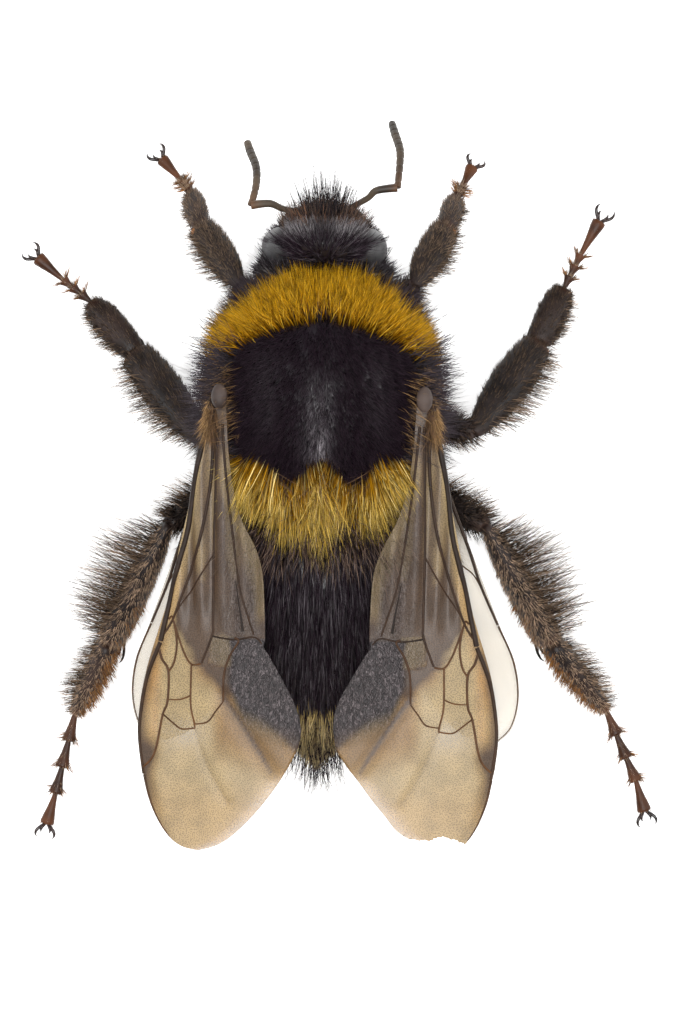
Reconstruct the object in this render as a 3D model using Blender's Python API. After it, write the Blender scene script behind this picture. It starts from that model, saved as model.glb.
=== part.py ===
"""A queen garden bumblebee: a still, life-size model that stands on its six feet.

Everything is drawn in millimetres and hung from one empty, which carries it down to metres and sets
the middle of its footprint over the origin. +X is the bee's left, it faces -Y, and +Z is up. The
floor is at zero. The body solids reach out to the tips of the fur that covers them, and neighbouring
pieces are carved to meet face to face with a thin clearance.
"""

import math

import bmesh
import bpy
from mathutils import Matrix, Vector

MM = 0.001
GAP = 0.06  # clearance between neighbours
SIDES = {"left": 1, "right": -1}

# Thorax with its fur: an egg lying along Y, from the neck to the tips of the scutellum's fringe.
TRUNK_FRONT, TRUNK_BACK = -8.05, 1.6
TRUNK_HALF_WIDTH, TRUNK_HALF_HEIGHT = 4.6, 3.95
TRUNK_MIDDLE_Z = 5.35
TRUNK_BLUNTNESS = (0.33, 0.40)
COLLAR_RADIUS, COLLAR_LEAN = 6.0, math.radians(16)  # the yellow collar ends at a leaning cylinder
COLLAR_AXIS_Y, COLLAR_AXIS_Z = -0.3, 9.0
SCUTELLUM_Y, SCUTELLUM_Z, SCUTELLUM_LEAN = -0.75, 9.4, math.radians(22)

# Abdomen with its fur: a longer egg that droops towards the tip, in six segments.
ABDOMEN_FRONT, ABDOMEN_BACK = -0.2, 10.75
ABDOMEN_HALF_WIDTH, ABDOMEN_HALF_HEIGHT = 5.2, 3.35
ABDOMEN_MIDDLE_Z, ABDOMEN_DROOP = 4.1, 0.9
ABDOMEN_BLUNTNESS = (0.32, 0.85)
SEGMENT_ENDS = (0.0, 0.19, 0.38, 0.55, 0.70, 0.84, 1.0)  # shares of the abdomen's length

# Head: an egg standing on end, widest across the middle of the eyes.
HEAD_TOP, HEAD_CHIN = 7.2, 1.85
HEAD_Y, HEAD_HALF_WIDTH, HEAD_HALF_DEPTH = -9.1, 2.25, 1.42
HEAD_BLUNTNESS = (0.42, 0.30)
EYE_AT, EYE_RADII, EYE_TILT = (1.64, -8.78, 4.45), (0.78, 0.80, 1.85), math.radians(3)
CLYPEUS_AT, CLYPEUS_RADII = (0, -10.05, 2.95), (1.05, 0.6, 1.1)
MANDIBLE_PATH = ((1.15, -9.45, 2.3), (1.25, -10.25, 1.3), (0.3, -10.4, 0.98))
TONGUE_PATH = ((0, -9.75, 1.6), (0, -8.6, 0.95), (0, -6.9, 1.5))
FEELER_HALF = 0.26
SCAPE_PATHS = {
    "left": ((0.62, -10.1, 4.7), (1.75, -10.5, 5.3), (2.75, -10.32, 5.3)),
    "right": ((0.66, -10.2, 4.7), (1.75, -10.95, 5.3), (2.67, -11.06, 5.3)),
}
FLAGELLUM_PATHS = {
    "left": ((2.75, -10.32, 5.3), (2.33, -11.6, 4.7), (2.93, -12.7, 3.2)),
    "right": ((2.67, -11.06, 5.3), (2.9, -12.2, 4.9), (2.43, -13.5, 3.2)),
}

# Wings: flat blades in wing axes, with u running from the hinge to the tip and v to the outer edge.
WING_THICK = 0.5
WING_SPREAD = 1.03  # scales v
WING_ROLLS, WING_PITCH = {"left": math.radians(14), "right": math.radians(5)}, math.radians(-3)
FOREWING_HINGE, FOREWING_SPLAYS = (3.85, -3.05, 7.25), {"left": math.radians(1.9), "right": math.radians(1.9)}
HINDWING_HINGE, HINDWING_SPLAYS = (3.69, -2.18, 7.25), {"left": math.radians(14.9), "right": math.radians(17.2)}
HINDWING_DROP = WING_THICK + 2 * GAP
FOREWING_EDGE = (
    (0, 0.3), (3.0, 0.72), (7.1, 1.38), (10.2, 2.18), (12.2, 2.4), (14.0, 2.1), (15.6, 1.52),
    (16.65, -0.1), (15.8, -1.5), (13.7, -3.05), (12.4, -3.58), (11.2, -3.42), (9.2, -2.28),
    (7.6, -2.12), (5.9, -2.0), (3.9, -0.96), (0, -0.35),
)
WORN_EDGE = (
    (0, 0.3), (3.0, 0.72), (7.1, 1.38), (10.2, 2.18), (12.2, 2.4), (13.4, 2.29), (14.8, 1.96),
    (15.9, 1.43), (16.3, 1.12), (16.05, 0.45), (16.15, 0.0), (15.95, -1.05), (15.2, -1.7),
    (13.7, -2.85), (12.5, -3.5), (11.2, -3.42), (9.2, -2.28), (7.6, -2.12), (5.9, -2.0),
    (3.9, -0.96), (0, -0.35),
)
HINDWING_EDGE = (
    (0, 0.25), (4.5, 0.5), (7.9, 0.76), (9.4, 0.92), (10.7, 0.7), (11.7, 0.15), (12.1, -0.6),
    (11.3, -1.7), (9.5, -2.5), (7.5, -2.75), (5.8, -2.35), (3.5, -1.9), (1.5, -1.0), (0, -0.3),
)
TEGULA_AT, TEGULA_RADII = (3.78, -3.35, 7.75), (0.44, 0.72, 0.38)

# Legs: for each pair, where the coxa leaves the thorax and where it ends. For each leg, how far every
# segment runs in plan, the bearing of every segment from straight out, towards the tail, and the
# heights of the joints. HALF_SIZES gives half the breadth of a segment at its start, bulge and end.
LEG_PAIRS = {
    "front": {"root": (1.3, -5.9, 2.6), "hip": (1.5, -6.2, 1.45), "broad_side_up": False},
    "middle": {"root": (1.7, -3.2, 2.4), "hip": (2.0, -3.1, 1.2), "broad_side_up": False},
    "hind": {"root": (1.8, -0.9, 2.6), "hip": (2.1, -0.5, 1.35), "broad_side_up": True},
}
STANCES = {
    "front_left": {
        "runs": (2.03, 2.68, 1.31, 0.84, 0.86, 0.53), "bearings": (-36, -56, -73, -51, -46, -33),
        "heights": (3.6, 2.1, 0.75, 0.45, 0.22),
    },
    "front_right": {
        "runs": (2.27, 2.52, 1.18, 0.61, 0.71, 0.42), "bearings": (-34, -63, -71, -66, -63, -46),
        "heights": (3.9, 2.35, 1.05, 0.6, 0.22),
    },
    "middle_left": {
        "runs": (2.90, 4.10, 2.55, 1.32, 1.13, 0.74), "bearings": (31, -52, -48, -37, -43, -36),
        "heights": (3.4, 1.15, 0.56, 0.4, 0.22),
    },
    "middle_right": {
        "runs": (3.82, 4.11, 2.32, 1.37, 1.44, 0.69), "bearings": (16, -55, -66, -64, -62, -55),
        "heights": (3.4, 1.15, 0.56, 0.4, 0.22),
    },
    "hind_left": {
        "runs": (4.06, 4.84, 3.08, 3.05, 1.24, 0.60), "bearings": (30, 64, 65, 77, 74, 84),
        "heights": (4.1, 1.8, 0.62, 0.4, 0.22),
    },
    "hind_right": {
        "runs": (4.46, 4.89, 3.45, 2.82, 1.20, 0.63), "bearings": (25, 60, 50, 66, 73, 89),
        "heights": (4.1, 1.8, 0.62, 0.4, 0.22),
    },
}
HALF_SIZES = {
    "front": {"femur": (0.36, 0.56, 0.4), "tibia": (0.36, 0.64, 0.5), "basitarsus": (0.42, 0.46, 0.34)},
    "middle": {"femur": (0.4, 0.62, 0.42), "tibia": (0.4, 0.76, 0.62), "basitarsus": (0.56, 0.62, 0.42)},
    "hind": {"femur": (0.42, 0.66, 0.46), "tibia": (0.42, 0.9, 0.86), "basitarsus": (0.72, 0.68, 0.42)},
}
FLATNESS = {"femur": 0.9, "tibia": 0.62, "basitarsus": 0.66}
TOE_HALF = 0.26
BODY_SIDES, HEAD_SIDES, LEG_SIDES, TOE_SIDES = 24, 16, 8, 6

FINISHES = {
    "yellow_fur": ((0.52, 0.29, 0.02), 0.8),
    "black_fur": ((0.022, 0.016, 0.02), 0.75),
    "buff_fur": ((0.36, 0.28, 0.13), 0.85),
    "black_cuticle": ((0.03, 0.022, 0.02), 0.35),
    "brown_cuticle": ((0.16, 0.06, 0.03), 0.4),
    "eye": ((0.05, 0.048, 0.05), 0.25),
    "wing": ((0.45, 0.33, 0.2), 0.3),
}


def clear_scene():
    for old in list(bpy.data.objects):
        bpy.data.objects.remove(old)


def finish_for(name):
    """The material of that name, made the first time it is asked for."""
    made = bpy.data.materials.get(name)
    if made is None:
        colour, roughness = FINISHES[name]
        made = bpy.data.materials.new(name)
        made.use_nodes = True
        shader = made.node_tree.nodes["Principled BSDF"]
        shader.inputs["Base Color"].default_value = (*colour, 1)
        shader.inputs["Roughness"].default_value = roughness
        shader.inputs["Metallic"].default_value = 0
    return made


def piece_from(name, bm, finish, at=(0, 0, 0)):
    """Turns a bmesh into a named piece hung from the empty, with its faces out."""
    bmesh.ops.recalc_face_normals(bm, faces=bm.faces)
    mesh = bpy.data.meshes.new(name)
    bm.to_mesh(mesh)
    bm.free()
    mesh.materials.append(finish_for(finish))
    mesh.shade_smooth()
    mesh.set_sharp_from_angle(angle=math.radians(40))
    made = bpy.data.objects.new(name, mesh)
    bpy.context.scene.collection.objects.link(made)
    made.parent = bpy.data.objects["bumblebee"]
    made.location = at
    return made


def hide(helper):
    """Marks a cutter, so that it isn't a piece of the bee."""
    helper.hide_render = True
    helper.display_type = "WIRE"
    return helper


def grown(piece):
    """A hidden cutter: the piece's own shape swollen by the clearance."""
    bm = bmesh.new()
    bm.from_mesh(piece.data)
    bm.normal_update()
    for vert in bm.verts:
        vert.co += vert.normal * GAP
    made = piece_from(piece.name + "_grown", bm, piece.data.materials[0].name, piece.location)
    made.rotation_euler = piece.rotation_euler
    return hide(made)


def boolean(piece, cutter, operation="DIFFERENCE"):
    step = piece.modifiers.new(f"{operation.lower()}_{cutter.name}", "BOOLEAN")
    step.operation = operation
    step.solver = "EXACT"
    step.object = cutter
    return piece


def bezier(path, share):
    """The point at that share of the way along a curve with one bend."""
    start, bend, end = (Vector(point) for point in path)
    return start.lerp(bend, share).lerp(bend.lerp(end, share), share)


def mirrored(path, side):
    return [(x * SIDES[side], y, z) for x, y, z in path]


def egg(share, bluntness):
    """Half-breadth of an egg along its length: the two powers round its front and its back."""
    front, back = bluntness
    widest = front / (front + back)
    return (share / widest) ** front * ((1 - share) / (1 - widest)) ** back


def rounded_shares(rings, start=0.0, end=1.0, open_start=False, open_end=False):
    """Shares from start to end that crowd together at each closed end, so that it looks round."""
    shares = []
    for i in range(rings):
        even = i / (rings - 1)
        angle = math.pi * (even if open_start == open_end else even / 2)
        if open_start and open_end:
            crowded = even
        elif open_end:
            crowded = 1 - math.cos(angle)
        elif open_start:
            crowded = math.sin(angle)
        else:
            crowded = (1 - math.cos(angle)) / 2
        shares.append(min(max(start + (end - start) * crowded, 0.0012), 0.9988))
    return shares


def ring(bm, centre, along, across, half_across, half_up, sides):
    """One elliptical section: along is the way the piece runs, across its broad side."""
    along = Vector(along).normalized()
    across = Vector(across)
    across = (across - across.dot(along) * along).normalized()
    up = along.cross(across)
    turned = Matrix((across * half_across, up * half_up, along)).transposed().to_4x4()
    place = Matrix.Translation(centre) @ turned
    return bmesh.ops.create_circle(bm, segments=sides, radius=1, matrix=place)["verts"]


def loft(name, sections, sides, finish):
    """A closed piece skinned over elliptical sections."""
    bm = bmesh.new()
    rings = [ring(bm, *section, sides) for section in sections]
    for near, far in zip(rings, rings[1:]):
        for i in range(sides):
            bm.faces.new((near[i - 1], near[i], far[i], far[i - 1]))
    bm.faces.new(rings[0])
    bm.faces.new(rings[-1])
    return piece_from(name, bm, finish)


def ellipsoid(name, at, radii, finish, tilt=0.0, rounds=(12, 8)):
    bm = bmesh.new()
    bmesh.ops.create_uvsphere(bm, u_segments=rounds[0], v_segments=rounds[1], radius=1)
    bmesh.ops.scale(bm, vec=radii, verts=bm.verts)
    bmesh.ops.rotate(bm, verts=bm.verts, matrix=Matrix.Rotation(tilt, 3, "Y"))
    return piece_from(name, bm, finish, at)


def tube(name, path, halves, finish, flat=1.0, across=(0, 0, 1), rings=6, sides=LEG_SIDES):
    """A limb along a bent path: halves are its half-breadths at the start, the bulge and the end."""
    sections = []
    for i in range(rings):
        share = i / (rings - 1)
        half = halves[0] * (1 - share) ** 2 + halves[2] * share**2 + 2 * share * (1 - share) * (
            2 * halves[1] - (halves[0] + halves[2]) / 2
        )
        ahead = bezier(path, min(share + 0.05, 1)) - bezier(path, max(share - 0.05, 0))
        sections.append((bezier(path, share), ahead, across, half, half * flat))
    return loft(name, sections, sides, finish)


def make_trunk():
    """The whole thorax as one hidden egg, then cut into the collar, thorax and scutellum."""
    sections = []
    for share in rounded_shares(13):
        y = TRUNK_FRONT + (TRUNK_BACK - TRUNK_FRONT) * share
        swell = egg(share, TRUNK_BLUNTNESS)
        section = ((0, y, TRUNK_MIDDLE_Z), (0, 1, 0), (1, 0, 0))
        sections.append((*section, TRUNK_HALF_WIDTH * swell, TRUNK_HALF_HEIGHT * swell))
    trunk = hide(loft("trunk", sections, BODY_SIDES, "black_fur"))

    def leaning_cylinder(name, radius):
        bm = bmesh.new()
        bmesh.ops.create_cone(
            bm, cap_ends=True, segments=72, radius1=radius, radius2=radius, depth=30
        )
        bmesh.ops.rotate(bm, verts=bm.verts, matrix=Matrix.Rotation(-COLLAR_LEAN, 3, "X"))
        return hide(piece_from(name, bm, "black_fur", (0, COLLAR_AXIS_Y, COLLAR_AXIS_Z)))

    def block_behind(name, back_off):
        bm = bmesh.new()
        bmesh.ops.create_cube(bm, size=30)
        bmesh.ops.translate(bm, verts=bm.verts, vec=(0, 15 + back_off, 0))
        bmesh.ops.rotate(bm, verts=bm.verts, matrix=Matrix.Rotation(SCUTELLUM_LEAN, 3, "X"))
        return hide(piece_from(name, bm, "black_fur", (0, SCUTELLUM_Y, SCUTELLUM_Z)))

    disc = leaning_cylinder("disc", COLLAR_RADIUS)
    disc_grown = leaning_cylinder("disc_grown", COLLAR_RADIUS + GAP)
    for name, finish, steps in (
        ("collar", "yellow_fur", ((disc_grown, "DIFFERENCE"),)),
        ("thorax", "black_fur", ((disc, "INTERSECT"), (block_behind("rear", 0), "DIFFERENCE"))),
        ("scutellum", "yellow_fur", ((disc, "INTERSECT"), (block_behind("rear_in", GAP), "INTERSECT"))),
    ):
        part = bpy.data.objects.new(name, trunk.data.copy())
        part.data.materials[0] = finish_for(finish)
        bpy.context.scene.collection.objects.link(part)
        part.parent = trunk.parent
        for cutter, operation in steps:
            boolean(part, cutter, operation)
    return trunk


def make_abdomen():
    segments = []
    for number, (start, end) in enumerate(zip(SEGMENT_ENDS, SEGMENT_ENDS[1:]), 1):
        length = ABDOMEN_BACK - ABDOMEN_FRONT
        first, last = number == 1, number == len(SEGMENT_ENDS) - 1
        clear = 0 if last else GAP / length
        sections = []
        for share in rounded_shares(6 if first or last else 4, start, end - clear, not first, not last):
            y = ABDOMEN_FRONT + length * share
            z = ABDOMEN_MIDDLE_Z - ABDOMEN_DROOP * share**2
            swell = egg(share, ABDOMEN_BLUNTNESS)
            section = ((0, y, z), (0, 1, 0), (1, 0, 0))
            sections.append((*section, ABDOMEN_HALF_WIDTH * swell, ABDOMEN_HALF_HEIGHT * swell))
        finish = "buff_fur" if number > 4 else "black_fur"
        segments.append(loft(f"abdomen_segment_{number}", sections, BODY_SIDES, finish))
    return segments


def make_head(trunk):
    sections = []
    for share in rounded_shares(11):
        swell = egg(share, HEAD_BLUNTNESS)
        z = HEAD_TOP + (HEAD_CHIN - HEAD_TOP) * share
        section = ((0, HEAD_Y, z), (0, 0, -1), (1, 0, 0))
        sections.append((*section, HEAD_HALF_WIDTH * swell, HEAD_HALF_DEPTH * swell))
    head = loft("head", sections, HEAD_SIDES, "black_fur")
    trunk_grown = bpy.data.objects["trunk_grown"]
    head_grown = grown(head)
    boolean(head, trunk_grown)
    clypeus = ellipsoid("clypeus", CLYPEUS_AT, CLYPEUS_RADII, "black_cuticle")
    clypeus_grown = grown(clypeus)
    boolean(clypeus, head_grown)
    tongue = tube("proboscis", TONGUE_PATH, (0.3, 0.42, 0.27), "brown_cuticle", across=(1, 0, 0))
    for cutter in (head_grown, clypeus_grown, trunk_grown):
        boolean(tongue, cutter)
    tongue_grown = grown(tongue)
    for side, sign in SIDES.items():
        x, y, z = EYE_AT
        eye = ellipsoid(f"eye_{side}", (x * sign, y, z), EYE_RADII, "eye", EYE_TILT * sign)
        boolean(head, grown(eye))
        jaw = tube(
            f"mandible_{side}", mirrored(MANDIBLE_PATH, side), (0.4, 0.42, 0.25), "brown_cuticle", 0.8
        )
        for cutter in (head_grown, clypeus_grown, tongue_grown):
            boolean(jaw, cutter)
        scape = tube(
            f"antenna_{side}_scape", mirrored(SCAPE_PATHS[side], side), (FEELER_HALF,) * 3, "black_cuticle"
        )
        boolean(scape, head_grown)
        flagellum = tube(
            f"antenna_{side}_flagellum", mirrored(FLAGELLUM_PATHS[side], side),
            (FEELER_HALF, FEELER_HALF * 1.08, FEELER_HALF * 0.9), "black_cuticle", rings=8, sides=TOE_SIDES,
        )
        boolean(flagellum, grown(scape))


def smooth_outline(points, steps=3):
    """A closed curve through the points, by Catmull and Rom's rule."""
    outline = []
    for i in range(len(points)):
        a, b, c, d = (Vector(points[(i + k) % len(points)]) for k in (-1, 0, 1, 2))
        for step in range(steps):
            t = step / steps
            outline.append(
                ((2 * b) + (c - a) * t + (2 * a - 5 * b + 4 * c - d) * t**2 + (3 * b - a - 3 * c + d) * t**3) / 2
            )
    return outline


def wing(name, side, hinge, splay, edge, drop):
    """A flat blade: the outline in wing axes, given its thickness about the wing's own plane."""
    sign = SIDES[side]
    plane = Matrix.Rotation(WING_PITCH, 3, "X") @ Matrix.Rotation(WING_ROLLS[side] * sign, 3, "Y")
    axes = plane @ Matrix.Rotation(-splay * sign, 3, "Z")
    out, back, up = (axes @ Vector(axis) for axis in ((sign, 0, 0), (0, 1, 0), (0, 0, 1)))
    root = Vector((hinge[0] * sign, *hinge[1:])) - up * drop
    bm = bmesh.new()
    lower = [root + back * u + out * (v * WING_SPREAD) - up * WING_THICK / 2 for u, v in smooth_outline(edge)]
    sheet = bm.faces.new([bm.verts.new(point) for point in lower])
    raised = bmesh.ops.extrude_face_region(bm, geom=[sheet])["geom"]
    top = [item for item in raised if isinstance(item, bmesh.types.BMVert)]
    bmesh.ops.translate(bm, verts=top, vec=up * WING_THICK)
    return piece_from(name, bm, "wing")


def make_wings(abdomen):
    trunk_grown = bpy.data.objects["trunk_grown"]
    for side, sign in SIDES.items():
        edge = FOREWING_EDGE if side == "left" else WORN_EDGE
        fore = wing(f"forewing_{side}", side, FOREWING_HINGE, FOREWING_SPLAYS[side], edge, 0)
        splay = HINDWING_SPLAYS[side]
        hind = wing(f"hindwing_{side}", side, HINDWING_HINGE, splay, HINDWING_EDGE, HINDWING_DROP)
        x, y, z = TEGULA_AT
        tegula = ellipsoid(f"tegula_{side}", (x * sign, y, z), TEGULA_RADII, "brown_cuticle")
        beds = [grown(fore), grown(hind)]
        boolean(boolean(tegula, beds[0]), trunk_grown)
        for blade in (fore, hind):
            boolean(blade, trunk_grown)
        for segment in abdomen[:5]:
            for bed in beds:
                boolean(segment, bed)


def step_out(start, side, run, bearing, height):
    """The next joint of a leg: run is the distance in plan, bearing is from straight out."""
    turn = math.radians(bearing)
    x = start.x + SIDES[side] * run * math.cos(turn)
    return Vector((x, start.y + run * math.sin(turn), height))


def between(start, end, lift=0.0):
    """A path from joint to joint that bows upwards by lift at its middle."""
    start, end = Vector(start), Vector(end)
    return (start, (start + end) / 2 + Vector((0, 0, 2 * lift)), end)


def make_tarsus(name, side, joints, claw_run, claw_bearing, floor):
    """Three bell-shaped toes and a longer last one, with two claws, cut flat where it stands."""
    ankle, last, tip = joints
    sections = []
    for toe in range(3):
        for share, half in ((0.0, 0.8), (0.75, 1.25), (0.97, 1.3)):
            at = ankle.lerp(last, (toe + share) / 3)
            sections.append((at, last - ankle, (0, 0, 1), TOE_HALF * 0.95, TOE_HALF * half))
    for share, half in ((0.02, 0.85), (0.5, 1.0), (0.85, 1.35), (1.0, 1.2)):
        sections.append((last.lerp(tip, share), tip - last, (0, 0, 1), TOE_HALF * 1.05, TOE_HALF * half))
    tarsus = loft(name, sections, TOE_SIDES, "brown_cuticle")
    heel = tip.lerp(last, 0.2)
    for number, turn in enumerate((-24, 24), 1):
        point = step_out(tip, side, claw_run, claw_bearing + turn, 0.16)
        crook = (heel + point) / 2 + Vector((0, 0, 0.22))
        claw = tube(f"{name}_claw_{number}", (heel, crook, point), (0.2, 0.19, 0.1), "black_cuticle",
                    rings=4, sides=5)
        boolean(tarsus, hide(claw), "UNION")
    return boolean(tarsus, floor)


def make_leg(leg, trunk_grown, floor, abdomen):
    pair, side = leg.split("_")
    shape, halves = LEG_PAIRS[pair], HALF_SIZES[pair]
    stance = STANCES[leg]
    *runs, claw_run = stance["runs"]
    bearings, heights = stance["bearings"], stance["heights"]
    sign = SIDES[side]
    root, hip = (Vector((x * sign, y, z)) for x, y, z in (shape["root"], shape["hip"]))
    joints = [hip]
    for run, bearing, height in zip(runs, bearings, heights):
        joints.append(step_out(joints[-1], side, run, bearing, height))
    coxa = tube(f"leg_{leg}_coxa", between(root, hip), (0.75, 0.72, 0.45), "black_cuticle", rings=5)
    boolean(coxa, trunk_grown)
    before = coxa
    for name, start, end in zip(("femur", "tibia", "basitarsus"), joints, joints[1:]):
        heading = end - start
        level = Vector((heading.y, -heading.x, 0))
        across = (0, 0, 1) if shape["broad_side_up"] and name != "femur" else level
        lift = 0.12 if name == "femur" else 0.0
        finish = "brown_cuticle" if name == "basitarsus" else "black_cuticle"
        segment = tube(f"leg_{leg}_{name}", between(start, end, lift), halves[name], finish,
                       FLATNESS[name], across)
        boolean(segment, grown(before))
        if name == "femur":
            boolean(segment, trunk_grown)
            if pair == "hind":
                for bed in abdomen[:2]:
                    boolean(bed, grown(segment))
        before = segment
    tarsus = make_tarsus(f"leg_{leg}_tarsus", side, joints[3:], claw_run, bearings[-1], floor)
    boolean(tarsus, grown(before))


def make_floor_cutter():
    bm = bmesh.new()
    bmesh.ops.create_cube(bm, size=60)
    return hide(piece_from("under_floor", bm, "black_cuticle", (0, 0, -30)))


def centre_over_origin(carrier):
    """Moves the carrier so that the middle of the whole footprint lies at the origin."""
    bpy.context.view_layer.update()
    graph = bpy.context.evaluated_depsgraph_get()
    corners = [
        piece.matrix_world @ vert.co
        for piece in (obj.evaluated_get(graph) for obj in carrier.children if not obj.hide_render)
        for vert in piece.data.vertices
    ]
    for axis in (0, 1):
        low, high = (pick(corner[axis] for corner in corners) for pick in (min, max))
        carrier.location[axis] = -(low + high) / 2


def main():
    clear_scene()
    carrier = bpy.data.objects.new("bumblebee", None)
    bpy.context.scene.collection.objects.link(carrier)
    carrier.scale = (MM,) * 3
    trunk = make_trunk()
    trunk_grown = grown(trunk)
    abdomen = make_abdomen()
    for segment in abdomen[:2]:
        boolean(segment, trunk_grown)
    make_head(trunk)
    make_wings(abdomen)
    floor = make_floor_cutter()
    for leg in STANCES:
        make_leg(leg, trunk_grown, floor, abdomen)
    centre_over_origin(carrier)


main()
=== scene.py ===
import math

import bpy
import numpy as np
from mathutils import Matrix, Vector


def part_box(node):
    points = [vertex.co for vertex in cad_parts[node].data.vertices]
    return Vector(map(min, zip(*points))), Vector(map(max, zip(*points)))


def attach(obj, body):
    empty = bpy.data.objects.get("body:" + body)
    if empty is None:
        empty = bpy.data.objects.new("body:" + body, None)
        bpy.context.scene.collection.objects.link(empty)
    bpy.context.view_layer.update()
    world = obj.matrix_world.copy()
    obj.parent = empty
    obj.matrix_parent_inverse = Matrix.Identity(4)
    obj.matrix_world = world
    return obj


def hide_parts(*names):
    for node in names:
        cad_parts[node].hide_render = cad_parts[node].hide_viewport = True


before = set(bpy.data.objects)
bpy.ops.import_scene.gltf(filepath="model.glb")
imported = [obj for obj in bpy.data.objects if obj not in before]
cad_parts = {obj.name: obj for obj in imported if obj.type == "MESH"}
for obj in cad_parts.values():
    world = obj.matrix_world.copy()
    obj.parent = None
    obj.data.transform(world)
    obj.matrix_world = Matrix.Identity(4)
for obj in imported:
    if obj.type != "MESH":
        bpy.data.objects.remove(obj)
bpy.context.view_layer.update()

# ---- The bee's own axes ----
# A queen garden bumblebee, 21 mm long. Every shape is worked out in millimetres in her own axes: the
# middle line of her body is x = 0 with her left at +x, she faces -y, and the floor is z = 0. The caps
# over the roots of her wings lie TEGULAE_AHEAD in front of the origin.
MM = 0.001
TAU = 2 * math.pi
TEGULAE_AHEAD = 3.35
SIDES = {"left": 1, "right": -1}
cap_corners = np.array([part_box("tegula_left"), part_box("tegula_right")]) / MM
bee_origin = cap_corners.reshape(-1, 3).mean(0) * (1, 1, 0) + (0, TEGULAE_AHEAD, 0)
rng = np.random.default_rng(21)


def box_mm(*nodes):
    """The lowest and the highest corner of some CAD nodes together, in the bee's axes."""
    corners = np.array([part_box(node) for node in nodes]) / MM - bee_origin
    return corners[:, 0].min(0), corners[:, 1].max(0)


def signed_volume(points, faces):
    """Six times the volume inside a closed mesh: the sum of one . (two x three) over its triangles."""
    total = 0.0
    for rows in faces:
        for k in range(1, rows.shape[1] - 1):
            one, two, three = points[rows[:, 0]], points[rows[:, k]], points[rows[:, k + 1]]
            total += np.einsum("ij,ij->", one, np.cross(two, three))
    return total


def add_piece(name, points, faces, slot, uv=None, uv_name="UVMap", **marks):
    """A smooth mesh from whole arrays: points in millimetres in the bee's axes, faces as arrays of corners
    with one row to a face, turned outwards. Marks are numbers kept at each point."""
    if signed_volume(points - points.mean(0), faces) < 0:
        faces = [rows[:, ::-1] for rows in faces]
    corners = np.concatenate([rows.ravel() for rows in faces]).astype(np.int32)
    sizes = np.concatenate([np.full(len(rows), rows.shape[1]) for rows in faces])
    mesh = bpy.data.meshes.new(name)
    mesh.vertices.add(len(points))
    mesh.vertices.foreach_set("co", ((points + bee_origin) * MM).astype(np.float32).ravel())
    mesh.loops.add(len(corners))
    mesh.loops.foreach_set("vertex_index", corners)
    mesh.polygons.add(len(sizes))
    mesh.polygons.foreach_set("loop_start", (np.cumsum(sizes) - sizes).astype(np.int32))
    mesh.update(calc_edges=True)
    mesh.shade_smooth()
    if uv is not None:
        layer = mesh.uv_layers.new(name=uv_name)
        layer.data.foreach_set("uv", uv[corners].astype(np.float32).ravel())
    for mark, values in marks.items():
        attribute = mesh.attributes.new(mark, "FLOAT", "POINT")
        attribute.data.foreach_set("value", values.astype(np.float32).ravel())
    piece = bpy.data.objects.new(name, mesh)
    bpy.context.scene.collection.objects.link(piece)
    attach(piece, "root")
    return piece


def tube_faces(rows, around, first=0):
    """Corners of a closed tube: squares between its rings, and fans to one point beyond each end. Rings
    come first, then the two end points."""
    ring = first + np.arange(rows)[:, None] * around + np.arange(around)
    beside = np.roll(ring, -1, axis=1)
    squares = np.stack((ring[:-1], beside[:-1], beside[1:], ring[1:]), -1).reshape(-1, 4)
    start, end = first + rows * around, first + rows * around + 1
    fan = np.stack((np.full(around, start), beside[0], ring[0]), -1)
    far_fan = np.stack((np.full(around, end), ring[-1], beside[-1]), -1)
    return squares, np.concatenate((fan, far_fan))


def skin_of(surface, rows, around, ends=(0.004, 0.996), crowd=True):
    """Points and faces of a closed surface(share, angle): rings crowd towards the ends as a cosine does,
    and each end closes on the middle of its last ring."""
    even = np.linspace(0, 1, rows)
    share = (1 - np.cos(math.pi * even)) / 2 if crowd else even
    share = ends[0] + (ends[1] - ends[0]) * share
    s, a = (grid.ravel() for grid in np.meshgrid(share, np.arange(around) * TAU / around, indexing="ij"))
    points = surface(s, a)
    caps = np.stack((points[:around].mean(0), points[-around:].mean(0)))
    return np.concatenate((points, caps)), tube_faces(rows, around)


def joined(shells):
    """Several closed shells as one: their points one after another, their faces counted on."""
    points, squares, fans, first = [], [], [], 0
    for part_points, (part_squares, part_fans) in shells:
        points.append(part_points)
        squares.append(part_squares + first)
        fans.append(part_fans + first)
        first += len(part_points)
    return np.concatenate(points), (np.concatenate(squares), np.concatenate(fans))


def unit(vectors):
    return vectors / np.maximum(np.linalg.norm(vectors, axis=-1, keepdims=True), 1e-9)


# ---- Finishes of the shell ----
# A bee's shell is black to red-brown cuticle: a hard, half-gloss skin with fine pits where hairs stand.
# The same pits and cloudy wear lie on every plate, in one group that the finishes share.
def socket_value(shader, **values):
    for name, value in values.items():
        shader.inputs[name.replace("_", " ")].default_value = value


def new_finish(name, **values):
    """A material with its own Principled shader: the material, its nodes, its links and the shader."""
    made = bpy.data.materials.new(name)
    made.use_nodes = True
    tree = made.node_tree
    shader = tree.nodes["Principled BSDF"]
    socket_value(shader, **values)
    return made, tree.nodes, tree.links, shader


def node(nodes, kind, **settings):
    made = nodes.new(kind)
    for name, value in settings.items():
        if name in made.inputs:
            made.inputs[name].default_value = value
        else:
            setattr(made, name, value)
    return made


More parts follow.
